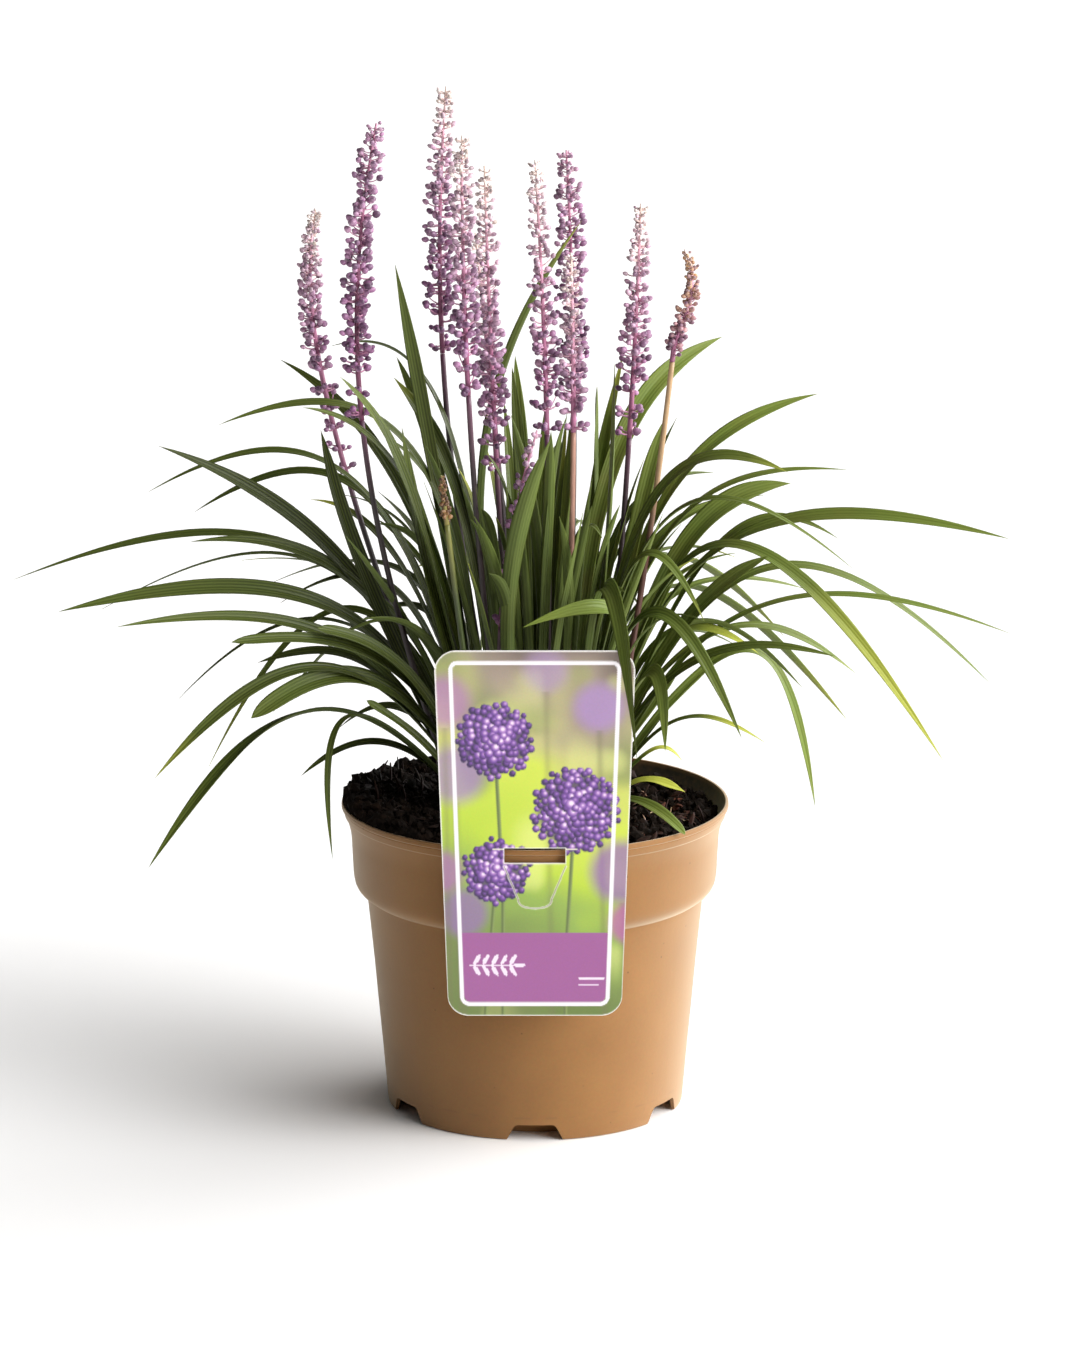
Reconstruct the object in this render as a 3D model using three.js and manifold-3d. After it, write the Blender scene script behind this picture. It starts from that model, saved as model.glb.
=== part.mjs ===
// Lilyturf (liriope) in bloom in a 15 cm nursery pot: strap-like leaves in tufts, flower spikes on bare
// stalks, peat, and a plastic plant label. Millimetres, +Z up, origin at the centre of the pot's flat
// bottom. The label faces -Y.
import * as THREE from "three";
import { mergeVertices } from "three/addons/utils/BufferGeometryUtils.js";
import Module from "manifold-3d";

const wasm = await Module();
wasm.setup();

// ---- driving dimensions -------------------------------------------------------------------------

const gap = 0.3; // air between pieces that touch

// pot
const potHeight = 120;
const lipRadius = 75;
const lipDepth = 10; // height of the flared lip
const lipBand = 2; // height of the upright band at its edge
const lipFlare = 1.4; // how far in the lip still is at half its height
const rimEdge = 0.5; // rounding of the rim
const collarTopRadius = 71.4;
const collarBottomRadius = 70;
const collarDepth = 32.5; // lip top to where the shoulder starts
const shoulderDepth = 3.8; // height over which the collar steps in to the body
const shoulderBulge = 0.4;
const bodyTopRadius = 65.2;
const baseRadius = 57.5;
const bottomEdge = 0.6; // rounding of the bottom edge
const middleRadius = 46.5; // the flat middle of the bottom
const channelHeight = 6.7; // of the hollow ring between the middle and the foot
const channelSlope = 1.5; // how far the channel's inner side leans
const potWall = 1.3;
const floorThickness = 1.5;
const sides = 32; // round the pot, and the soil in it
const notchCount = 6;
const notchWidth = 21.6; // at the pot's edge
const notchTopWidth = 15.4;
const notchHeight = 6.2;
const notchDepth = 5;
const notchCorner = 1;

// soil
const soilMiddle = 115; // height of the soil at the pot's axis
const soilDish = 3.4; // how much higher it lies at the wall
const soilTilt = 4.8; // how much more at the left wall, and less at the right one
const soilRings = 4;
const soilRoughness = 0.8;
const soilEdge = 0.8; // thickness of the soil's rounded edge, and of the ripple along it
const spillSlope = 0.8; // how far the soil spills on to the rim for each millimetre it is heaped
const spillReach = 1.4; // and at most
const crumbCount = 9;
const crumbsFrom = 40; // crumbs lie this far from the axis and further out
const crumbsTo = 59;
const crumbSize = [2.2, 4.4];

// label
const labelTopWidth = 75;
const labelBottomWidth = 66;
const labelTop = 197.6;
const labelBottom = 55.6;
const labelThickness = 0.8;
const labelCorner = 8;
const slotWidth = 23;
const slotHeight = 5.8;
const slotTop = 121.2;
const slotCorner = 1;
const tongueStart = 1.2; // how far below the slot the tongue's U-shaped cut starts
const tongueDrop = 17.6; // how far below the slot it reaches
const tongueTop = 11.6; // half the tongue's width at its top
const tongueLow = 6.3; // and where its round end starts
const tongueRound = 3.5; // height of the round end
const tongueCut = 0.5; // width of the cut

// tufts
const crownRing = 22; // distance of each crown from the axis
const crownRadius = 5.6;
const crownFoot = 102;
const crownShoulder = 118;
const crownTop = 122;
const crownTaper = 2.6; // how much narrower a crown is at its top than at its shoulder
const crownSides = 8;
const holeTop = 142; // the holes in the soil are cut up to here
const holeRoom = 1.2 * gap; // the room round a crown in its eight-sided hole
const leafRoot = 117; // height where a leaf starts inside its crown
const leafSegments = 6; // along a leaf, each with a section of four points
const leafFoot = 0.37; // width of a leaf at its root, as a share of its full width
const leafFull = 0.78; // share of the length where a leaf has its full width
const leafNarrows = 0.72; // and from where it narrows to the tip
const rootSpread = 3.2; // how far from the crown's middle the leaves start
const leafThickness = 0.9;
const foldedShare = 0.86; // a folded leaf spans this share of its flat width
const leafKeel = 0.16; // depth of the leaf's fold as a share of its width
const bendTightness = 0.75;
const rollEase = 1.6; // a leaf turns slowly at its root and faster towards its tip

// leaves placed by a rule: from the most upright one to the one that arches furthest
const ruledTipReach = [52, 157];
const ruledTipHeight = [282, 132];
const ruledMiddleReach = [34, 69];
const ruledMiddleHeight = [214, 192];
const ruledWidth = [4.5, 8.5];
const ruledSpread = 22; // how much the places vary
const ruledSway = 11; // degrees to either side of the tuft's heading
const ruledRoll = 30;

// flower stalks and spikes
const stalkFoot = 104;
const stalkRadius = 1.25;
const stalkSides = 5;
const stalkSegments = 6;
const holeShare = 0.2; // how far up its curve the hole for a stalk reaches
const axisRadius = 1; // the spike's own axis, where the buds are loose
const coreRadius = 2.3; // the core between the buds, where they are dense
const budReach = 6.4; // how far from the axis the tips of the buds are
const budReachTop = 3; // and at the spike's tip
const budLean = 2; // how far up from its foot a bud's tip is
const budSides = 6; // round a spike: every other one is the tip of a bud
const budStep = 3.9; // way along the axis from one round of buds to the next
const looseStep = 8.5; // and where they are loose
const goldenAngle = 2.399963;

// ---- tables -------------------------------------------------------------------------------------
// A leaf: its middle (x, y, z), its tip (x, y, z), its flat width, and its roll in degrees at root and tip.

const tufts = [
  {
    name: "tuft_right",
    heading: 0,
    leaves: [
      [48, 6, 234, 109, 16, 277, 6, 30, 60],
      [50, -5, 226, 119, -12, 253, 4, 20, 30],
      [72, -12, 223, 180, -30, 230, 6.5, 20, 60],
      [55, 13, 214, 99, 24, 240, 9, 50, 60],
      [70, -20, 226, 155, -50, 148, 9, -20, 60],
      [88, 16, 208, 178, 34, 158, 4.5, 10, 60],
      [84, 4, 195, 184, 8, 184, 3.5, 20, 40],
      [68, -10, 221, 116, -12, 226, 3.5, 40, 50],
      [82, 20, 175, 110, 28, 109, 4, -10, 70],
      [48, -3, 184, 86, -8, 180, 5, 30, 40],
      [45, 8, 148, 68, 14, 171, 4, 60, 60],
      [54, -8, 153, 88, -20, 148, 3.5, 10, 20],
      [36, 1, 215, 50, 4, 270, 7.4, 70, 70],
      [40, -3, 128, 58, -8, 125, 6, 20, 10],
    ],
  },
  {
    name: "tuft_back_right",
    heading: 45,
    leaves: [
      [70, 40, 177, 127, 62, 155, 4.5, 20, 50],
      [29, 26, 245, 73, 54, 292, 8.5, 50, 60],
      [22, 26, 205, 24, 36, 276, 8.5, -60, -60],
      [44, 32, 180, 65, 46, 224, 4.5, 30, 60],
      [42, 30, 145, 60, 42, 170, 4.5, 60, 60],
    ],
    more: 8,
  },
  {
    name: "tuft_back",
    heading: 90,
    leaves: [
      [-3, 36, 205, -9, 46, 282, 7, 0, 0],
      [-20, 34, 246, 18, 24, 343, 5, -60, -60],
    ],
    more: 11,
  },
  {
    name: "tuft_back_left",
    heading: 135,
    leaves: [
      [-34, 32, 262, -80, 66, 286, 4.5, 20, 30],
      [-50, 34, 232, -100, 60, 282, 5, -60, -60],
      [-56, 38, 190, -116, 66, 200, 3.5, 10, 20],
      [-72, 42, 186, -130, 64, 116, 4.5, -20, -60],
      [-76, 46, 180, -142, 72, 142, 3.5, 0, -30],
      [-50, 32, 147, -77, 42, 138, 4.5, -30, -30],
      [-34, 34, 228, -54, 50, 285, 5.5, -60, -60],
      [-52, 34, 205, -88, 50, 228, 3.5, -20, -30],
    ],
    more: 4,
  },
  {
    name: "tuft_left",
    heading: 180,
    leaves: [
      [-46, -6, 258, -120, -20, 272, 5, -20, -40],
      [-68, -4, 246, -148, -12, 244, 4, -10, -40],
      [-62, 8, 236, -132, 22, 229, 4.5, -30, -50],
      [-73, -8, 215, -143, -20, 264, 7, -60, -60],
      [-85, 4, 217, -202, 14, 204, 5, -10, -40],
      [-80, 20, 207, -170, 40, 186, 3.5, 0, -10],
      [-68, -9, 207, -131, -26, 228, 6, -50, -50],
      [-78, -16, 200, -181, -36, 203, 7.5, -50, -70],
      [-75, -19, 188, -158, -48, 200, 5.5, -50, -60],
      [-62, 8, 170, -108, 18, 170, 5.5, -20, -40],
      [-86, -18, 160, -148, -40, 103, 7.5, 20, -60],
      [-58, -4, 144, -90, -18, 134, 4, -30, -40],
      [-36, -3, 235, -53, -8, 332, 6.5, -80, -80],
      [-62, -14, 206, -81, -24, 271, 8, -70, -70],
    ],
  },
  {
    name: "tuft_front_left",
    heading: 225,
    leaves: [
      [-56, -36, 182, -114, -60, 197, 6, -40, -50],
      [-48, -34, 178, -82, -50, 200, 6.5, -50, -50],
      [-78, -44, 183, -143, -72, 147, 6, -40, -50],
      [-60, -36, 176, -107, -58, 167, 8.5, -50, -60],
      [-70, -38, 163, -77, -46, 108, 4, 20, -60],
      [-42, -28, 149, -64, -38, 169, 4, -60, -60],
      [-44, -30, 243, -87, -46, 284, 4.5, -30, -40],
      [-42, -30, 238, -73, -42, 295, 5.5, -50, -60],
      [-40, -36, 226, -61, -50, 285, 7.5, -50, -60],
      [-38, -32, 205, -50, -38, 275, 8.5, -60, -60],
    ],
  },
  {
    name: "tuft_front",
    heading: 270,
    leaves: [
      [4, -32, 226, 12, -42, 280, 6.5, 30, 50],
      [-3, -35, 196, -6, -46, 254, 6.2, -30, -50],
      [-6, -30, 222, -18, -36, 264, 6, -30, -40],
      [-10, -46, 207, 6, -60, 275, 8, 0, 0],
      [2, -27, 213, -9, -30, 278, 5.5, 30, 30],
      [9, -40, 190, 18, -56, 246, 6.5, 40, 40],
      [-13, -44, 178, -25, -62, 228, 5.5, -30, -40],
    ],
  },
  {
    name: "tuft_front_right",
    heading: 315,
    leaves: [
      [44, -29, 243, 95, -50, 260, 6.5, 40, 50],
      [50, -32, 238, 119, -58, 225, 4, 10, 20],
      [58, -36, 182, 113, -58, 191, 5.5, 40, 40],
      [42, -40, 203, 78, -62, 160, 7, 40, 50],
      [36, -34, 220, 64, -48, 202, 4, 30, 50],
      [26, -26, 205, 30, -32, 298, 7, 60, 60],
      [52, -34, 192, 88, -50, 228, 8, 50, 60],
      [26, -54, 217, 38, -94, 160, 8, 30, 60],
      [42, -47, 182, 49, -66, 156, 7, 50, 60],
      [38, -38, 130, 57, -54, 120.5, 6, 10, 20],
      [34, -42, 198, -5, -58, 202, 7, -60, -70],
    ],
  },
];

// A flower stalk: its foot (x, y), its middle (x, y, z), the spike's tip (x, y, z), the share of the way up
// where the buds start and where they get dense, and how far the buds reach if that isn't budReach.
const stalks = [
  { name: "01", foot: [-24, 10], middle: [-78, 28, 262], tip: [-84, 33, 346], buds: 0.42, dense: 0.6 },
  { name: "02", foot: [-24, -10], middle: [-64, -26, 262], tip: [-59, -25, 389], buds: 0.55, dense: 0.62 },
  { name: "03", foot: [-9, 22], middle: [-34, 36, 262], tip: [-34, 42, 393], buds: 0.6, dense: 0.66 },
  { name: "04", foot: [-9, -22], middle: [-23.5, -40, 262], tip: [-27, -42, 387], buds: 0.6, dense: 0.66 },
  { name: "05", foot: [-5, -3], middle: [-14, -8, 240], tip: [-19, -12, 371], buds: 0.55, dense: 0.62 },
  { name: "06", foot: [-3, 5], middle: [-12, 14, 225], tip: [-23, 24, 339], buds: 0.68, dense: 0.75 },
  { name: "07", foot: [3, 3], middle: [5, 6, 238], tip: [0, 12, 369.5], buds: 0.6, dense: 0.66 },
  { name: "08", foot: [9, 22], middle: [15, 38, 240], tip: [12, 44, 368], buds: 0.62, dense: 0.66 },
  { name: "09", foot: [9, -22], middle: [14, -33, 238], tip: [13.5, -36, 341.5], buds: 0.66, dense: 0.7 },
  { name: "10", foot: [-9, -31], middle: [-13, -34, 197], tip: [1, -42, 275], buds: 0.5, dense: 0.62, reach: 3.8 },
  { name: "11", foot: [24, 10], middle: [35, 13, 242], tip: [40.5, 17, 351.5], buds: 0.58, dense: 0.66 },
  { name: "12", foot: [24, -10], middle: [44, -18, 232], tip: [56, -24, 341], buds: 0.8, dense: 0.82, reach: 4.8 },
  { name: "faded", foot: [-16, -38], middle: [-27, -56, 192], tip: [-35, -62, 262], buds: 0.86, dense: 0.86 },
];

// ---- helpers ------------------------------------------------------------------------------------

const radians = THREE.MathUtils.degToRad;

// A repeatable spread of numbers between 0 and 1.
function fraction(n) {
  return n - Math.floor(n);
}

function plain(geometry) {
  const bare = geometry.clone();
  for (const name of Object.keys(bare.attributes)) {
    if (name !== "position") bare.deleteAttribute(name);
  }
  return mergeVertices(bare, 1e-4);
}

function solid(geometry) {
  const merged = plain(geometry);
  return new wasm.Manifold(
    new wasm.Mesh({
      numProp: 3,
      vertProperties: merged.attributes.position.array,
      triVerts: new Uint32Array(merged.index.array),
    }),
  );
}

function geometryOf(body) {
  const made = body.getMesh();
  const geometry = new THREE.BufferGeometry();
  geometry.setAttribute("position", new THREE.BufferAttribute(new Float32Array(made.vertProperties), 3));
  geometry.setIndex(new THREE.BufferAttribute(new Uint32Array(made.triVerts), 1));
  geometry.computeVertexNormals();
  return geometry;
}

function joined(geometries) {
  return geometries.map(solid).reduce((sum, body) => sum.add(body));
}

// The cubic through a root, a middle point and a tip that bends most at the middle.
function bend(root, middle, tip) {
  const ends = (1 + 3 * (1 - bendTightness)) / 8;
  const knee = middle
    .clone()
    .addScaledVector(root, -ends)
    .addScaledVector(tip, -ends)
    .divideScalar((6 * bendTightness) / 8);
  return new THREE.CubicBezierCurve3(
    root,
    root.clone().lerp(knee, bendTightness),
    tip.clone().lerp(knee, bendTightness),
    tip,
  );
}

// True for the second half of a ring: with it, both faces of a leaf are split alike.
function secondHalf(i, j, sides) {
  return j >= sides / 2;
}

// Closes a list of rings, all with as many points or with one, into a skin. An end ring is closed as a fan.
// turned says which way the quad above side j of ring i is split into triangles.
function skin(rings, turned = secondHalf) {
  const points = rings.flat();
  const starts = [];
  let count = 0;
  for (const ring of rings) {
    starts.push(count);
    count += ring.length;
  }
  const faces = [];
  for (let i = 0; i + 1 < rings.length; i += 1) {
    const sides = Math.max(rings[i].length, rings[i + 1].length);
    for (let j = 0; j < sides; j += 1) {
      const k = (j + 1) % sides;
      const a = starts[i] + (rings[i].length > 1 ? j : 0);
      const b = starts[i] + (rings[i].length > 1 ? k : 0);
      const c = starts[i + 1] + (rings[i + 1].length > 1 ? k : 0);
      const d = starts[i + 1] + (rings[i + 1].length > 1 ? j : 0);
      if (turned(i, j, sides)) {
        if (a !== b) faces.push(a, b, c);
        if (c !== d) faces.push(a, c, d);
      } else {
        if (a !== b) faces.push(a, b, d);
        if (c !== d) faces.push(b, c, d);
      }
    }
  }
  for (let j = 1; j + 1 < rings[0].length; j += 1) {
    faces.push(0, j + 1, j);
  }
  const last = starts[rings.length - 1];
  for (let j = 1; j + 1 < rings[rings.length - 1].length; j += 1) {
    faces.push(last, last + j, last + j + 1);
  }
  const positions = points.flatMap((p) => p.toArray());
  const geometry = new THREE.BufferGeometry();
  geometry.setAttribute("position", new THREE.Float32BufferAttribute(positions, 3));
  geometry.setIndex(faces);
  return geometry;
}

function named(name, geometry, color, roughness) {
  const material = new THREE.MeshStandardMaterial({ color, roughness, metalness: 0 });
  const mesh = new THREE.Mesh(geometry, material);
  mesh.name = name;
  return mesh;
}

// ---- pot ----------------------------------------------------------------------------------------

const collarBottom = potHeight - collarDepth;
const bodyTop = collarBottom - shoulderDepth;

// The wall's outline from the body to the lip, moved in by an inset.
function wallOutline(inset) {
  const shoulderMiddle = (collarBottom + bodyTop) / 2;
  return [
    [bodyTopRadius - inset, bodyTop],
    [(bodyTopRadius + collarBottomRadius) / 2 - inset + shoulderBulge, shoulderMiddle],
    [collarBottomRadius - inset, collarBottom],
    [collarTopRadius - inset, potHeight - lipDepth],
    [lipRadius - lipFlare - inset, potHeight - lipDepth / 2],
    [lipRadius - inset, potHeight - lipBand],
  ];
}

// The inside of the bottom, from the axis out, raised and moved in by a clearance.
function floorOutline(clearance) {
  const inner = middleRadius - potWall - clearance;
  const level = floorThickness + clearance;
  return [
    [inner, level],
    [inner + channelSlope, channelHeight + level],
    [baseRadius - potWall - clearance, channelHeight + level],
  ];
}

function pot() {
  const bottom = [
    [0, 0],
    [middleRadius, 0],
    [middleRadius + channelSlope, channelHeight],
    [baseRadius - potWall, channelHeight],
    [baseRadius - potWall, 0],
    [baseRadius - bottomEdge, 0],
    [baseRadius, bottomEdge],
  ];
  const rim = [
    [lipRadius, potHeight - rimEdge],
    [lipRadius - rimEdge, potHeight],
    [lipRadius - potWall, potHeight],
  ];
  const inside = [...floorOutline(0), ...wallOutline(potWall)].reverse();
  const profile = [...bottom, ...wallOutline(0), ...rim, ...inside, [0, floorThickness]];
  const shell = new THREE.LatheGeometry(
    profile.map(([r, z]) => new THREE.Vector2(r, z)),
    sides,
  ).rotateX(Math.PI / 2);
  const lean = (notchWidth - notchTopWidth) / 2 / notchHeight;
  const halfAt = (z) => notchWidth / 2 - lean * z;
  const cornerFoot = notchHeight - notchCorner;
  const outline = new THREE.Shape([
    new THREE.Vector2(-halfAt(-1), -1),
    new THREE.Vector2(halfAt(-1), -1),
    new THREE.Vector2(halfAt(cornerFoot), cornerFoot),
    new THREE.Vector2(halfAt(notchHeight) - notchCorner, notchHeight),
    new THREE.Vector2(notchCorner - halfAt(notchHeight), notchHeight),
    new THREE.Vector2(-halfAt(cornerFoot), cornerFoot),
  ]);
  let body = solid(shell);
  for (let i = 0; i < notchCount; i += 1) {
    const cutter = new THREE.ExtrudeGeometry(outline, { depth: 2 * notchDepth, bevelEnabled: false })
      .rotateX(Math.PI / 2)
      .translate(0, notchDepth - baseRadius, 0)
      .rotateZ((i * 2 * Math.PI) / notchCount);
    body = body.subtract(solid(cutter));
  }
  return named("pot", geometryOf(body), 0xa67b4f, 0.5);
}

// ---- soil ---------------------------------------------------------------------------------------

// Height of the soil at a place: higher to the left, with a ripple of crumbs.
function soilHeight(x, y) {
  const ripple =
    Math.sin(0.41 * x + 1.3 * Math.sin(0.23 * y)) * Math.cos(0.37 * y - 0.19 * x) +
    0.6 * Math.sin(0.93 * x - 0.71 * y + 2) * Math.sin(0.88 * y + 0.35 * x);
  const reach = Math.hypot(x, y) / collarTopRadius;
  return soilMiddle + soilDish * reach ** 2 - (soilTilt * x) / collarTopRadius + soilRoughness * ripple;
}

// A ring of points round the pot's axis, each at the radius and height that place gives for its angle.
function ringRound(place) {
  const ring = [];
  for (let j = 0; j < sides; j += 1) {
    const angle = (j * 2 * Math.PI) / sides;
    const [r, z] = place(angle);
    ring.push(new THREE.Vector3(r * Math.cos(angle), r * Math.sin(angle), z));
  }
  return ring;
}

// How far from the axis the pot's inside is at a height over its collar.
function insideRadius(z) {
  const outline = wallOutline(potWall).filter(([, level]) => level >= potHeight - lipDepth);
  let radius = outline[0][0];
  for (let i = 1; i < outline.length; i += 1) {
    const [lowRadius, low] = outline[i - 1];
    const [highRadius, high] = outline[i];
    const share = THREE.MathUtils.clamp((z - low) / (high - low), 0, 1);
    if (z > low) radius = THREE.MathUtils.lerp(lowRadius, highRadius, share);
  }
  return radius;
}

// The rings of the soil's edge, from the wall to its top: heaped over the rim, or rounded below it.
function soilEdgeRings() {
  const onRim = potHeight + gap;
  const next = (2 * Math.PI) / sides;
  const height = (angle) =>
    soilHeight(collarTopRadius * Math.cos(angle), collarTopRadius * Math.sin(angle)) +
    soilEdge * Math.sin(7 * angle) * Math.sin(3 * angle + 1);
  const heap = (angle) =>
    THREE.MathUtils.clamp((height(angle) - onRim - soilEdge) * spillSlope, 0, spillReach);
  const spill = (angle) => Math.min(heap(angle - next), heap(angle), heap(angle + next));
  const beside = (level) => insideRadius(level) - gap;
  const atWall = (angle) => {
    const level = spill(angle) > 0 ? onRim : Math.min(onRim, height(angle) - 2 * soilEdge);
    return [beside(level), level];
  };
  const underEdge = (angle) => {
    const low = height(angle) - soilEdge;
    const sunk = Math.max(low, Math.min(onRim, low + 0.5 * soilEdge));
    return spill(angle) > 0 ? [beside(onRim) + spill(angle), onRim] : [beside(sunk) - 0.1 * gap, sunk];
  };
  const overEdge = (angle) => {
    const level = height(angle);
    return [beside(level) + soilEdge * spill(angle) - 0.5 * soilEdge, level];
  };
  return [ringRound(atWall), ringRound(underEdge), ringRound(overEdge)];
}

// Crumbs of peat that lie scattered on the soil.
function crumb(i) {
  const angle = i * goldenAngle;
  const r = THREE.MathUtils.lerp(crumbsFrom, crumbsTo, fraction(i * 0.7549));
  const size = THREE.MathUtils.lerp(crumbSize[0], crumbSize[1], fraction(i * 0.618));
  const x = r * Math.cos(angle);
  const y = r * Math.sin(angle);
  return new THREE.TetrahedronGeometry(size)
    .rotateX(i)
    .rotateZ(2 * i)
    .translate(x, y, soilHeight(x, y) + 0.2 * size);
}

// The hole in the soil that a flower stalk stands in.
function stalkHole(row) {
  const radius = stalkRadius + 1.5 * gap;
  return rod(stalkCurve(row), 0, holeShare, 2, radius, radius, stalkSides);
}

function soil() {
  const wall = wallOutline(potWall + gap).filter(([, level]) => level <= potHeight - lipDepth);
  const rings = [[new THREE.Vector3(0, 0, floorThickness + gap)]];
  for (const spot of [...floorOutline(gap), ...wall]) rings.push(ringRound(() => spot));
  rings.push(...soilEdgeRings());
  for (let i = soilRings - 1; i > 0; i -= 1) {
    const r = (collarTopRadius * i) / soilRings;
    rings.push(ringRound((angle) => [r, soilHeight(r * Math.cos(angle), r * Math.sin(angle))]));
  }
  rings.push([new THREE.Vector3(0, 0, soilHeight(0, 0))]);
  let body = solid(skin(rings));
  for (let i = 0; i < crumbCount; i += 1) body = body.add(solid(crumb(i)));
  for (const { heading } of tufts) body = body.subtract(solid(crownHole(heading)));
  for (const row of stalks) body = body.subtract(solid(stalkHole(row)));
  return named("soil", geometryOf(body), 0x17110e, 0.95);
}

// ---- label --------------------------------------------------------------------------------------

function label() {
  const top = labelTopWidth / 2;
  const bottom = labelBottomWidth / 2;
  const r = labelCorner;
  const card = new THREE.Shape();
  card.moveTo(r - bottom, labelBottom);
  card.lineTo(bottom - r, labelBottom);
  card.absarc(bottom - r, labelBottom + r, r, -Math.PI / 2, 0);
  card.absarc(top - r, labelTop - r, r, 0, Math.PI / 2);
  card.absarc(r - top, labelTop - r, r, Math.PI / 2, Math.PI);
  card.absarc(r - bottom, labelBottom + r, r, Math.PI, 1.5 * Math.PI);
  const half = slotWidth / 2;
  const slotBottom = slotTop - slotHeight;
  const slot = new THREE.Path();
  slot.moveTo(slotCorner - half, slotBottom);
  slot.lineTo(half - slotCorner, slotBottom);
  slot.lineTo(half, slotBottom + slotCorner);
  slot.lineTo(half, slotTop - slotCorner);
  slot.lineTo(half - slotCorner, slotTop);
  slot.lineTo(slotCorner - half, slotTop);
  slot.lineTo(-half, slotTop - slotCorner);
  slot.lineTo(-half, slotBottom + slotCorner);
  card.holes.push(slot);
  const start = slotBottom - tongueStart;
  const low = slotBottom - tongueDrop;
  const turn = low + tongueRound;
  const innerTop = tongueTop - tongueCut;
  const innerLow = tongueLow - tongueCut;
  const cut = new THREE.Path();
  cut.moveTo(-tongueTop, start);
  cut.lineTo(-tongueLow, turn);
  cut.quadraticCurveTo(-tongueLow, low, 0, low);
  cut.quadraticCurveTo(tongueLow, low, tongueLow, turn);
  cut.lineTo(tongueTop, start);
  cut.lineTo(innerTop, start);
  cut.lineTo(innerLow, turn);
  cut.quadraticCurveTo(innerLow, low + tongueCut, 0, low + tongueCut);
  cut.quadraticCurveTo(-innerLow, low + tongueCut, -innerLow, turn);
  cut.lineTo(-innerTop, start);
  card.holes.push(cut);
  const back = -(lipRadius + gap);
  const geometry = new THREE.ExtrudeGeometry(card, {
    depth: labelThickness,
    bevelEnabled: false,
    curveSegments: 3,
  })
    .rotateX(Math.PI / 2)
    .translate(0, back, 0);
  return named("label", geometryOf(solid(geometry)), 0xb9bd5e, 0.35);
}

// ---- leaves -------------------------------------------------------------------------------------

// How wide a leaf is along its length, as a share of its full width.
function leafWidth(t) {
  const widening = leafFoot + (1 - leafFoot) * Math.sin((Math.PI / 2) * Math.min(1, t / leafFull));
  const toTip = Math.max(0, t - leafNarrows) / (1 - leafNarrows);
  return widening * Math.sqrt(1 - toTip ** 2);
}

// How steeply a leaf leaves its crown.
function steepness(heading, [mx, my, mz]) {
  const centre = crownCentre(heading);
  return (mz - leafRoot) / Math.hypot(mx - centre.x, my - centre.y);
}

// rank runs from 0 for the steepest leaf, at the crown's inner side, to 1 for the lowest one.
function leaf(heading, row, rank) {
  const [mx, my, mz, tx, ty, tz, width, rollRoot, rollTip] = row;
  const centre = crownCentre(heading);
  const middle = new THREE.Vector3(mx, my, mz);
  const tip = new THREE.Vector3(tx, ty, tz);
  const forth = centre.clone().normalize();
  const left = new THREE.Vector3(-forth.y, forth.x, 0);
  const out = middle.clone().sub(centre).setZ(0).normalize();
  const root = centre
    .clone()
    .addScaledVector(forth, rootSpread * (2 * rank - 1))
    .addScaledVector(left, rootSpread * out.dot(left))
    .setZ(leafRoot);
  const curve = bend(root, middle, tip);
  const side = new THREE.Vector3(ty - root.y, root.x - tx, 0).normalize();
  const rings = [];
  for (let i = 0; i < leafSegments; i += 1) {
    const t = i / leafSegments;
    const along = curve.getTangent(t);
    const roll = radians(rollRoot + (rollTip - rollRoot) * t ** rollEase);
    const across = side.clone().addScaledVector(along, -side.dot(along)).normalize();
    across.applyAxisAngle(along, roll);
    const up = new THREE.Vector3().crossVectors(across, along);
    const half = 0.5 * foldedShare * width * leafWidth(t);
    const fold = leafKeel * half;
    const place = (s, height) =>
      curve
        .getPoint(t)
        .addScaledVector(across, s * half)
        .addScaledVector(up, height);
    rings.push([
      place(-1, fold),
      place(0, leafThickness / 2 - fold),
      place(1, fold),
      place(0, -leafThickness / 2 - fold),
    ]);
  }
  rings.push([tip]);
  return skin(rings);
}

function crownCentre(heading) {
  const angle = radians(heading);
  return new THREE.Vector3(crownRing * Math.cos(angle), crownRing * Math.sin(angle), 0);
}

// A solid turned round a crown's own axis from an outline of radii and heights.
function turnedAt(heading, outline) {
  const centre = crownCentre(heading);
  return new THREE.LatheGeometry(
    outline.map(([r, z]) => new THREE.Vector2(r, z)),
    crownSides,
  )
    .rotateX(Math.PI / 2)
    .rotateZ(radians(heading + 180 / crownSides))
    .translate(centre.x, centre.y, 0);
}

function crown(heading) {
  return turnedAt(heading, [
    [0, crownFoot],
    [crownRadius, crownFoot],
    [crownRadius, crownShoulder],
    [crownRadius - crownTaper, crownTop],
    [0, crownTop],
  ]);
}

// The hole in the soil that a crown stands in.
function crownHole(heading) {
  const r = crownRadius + holeRoom;
  return turnedAt(heading, [[0, crownFoot - gap], [r, crownFoot - gap], [r, holeTop], [0, holeTop]]);
}

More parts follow.
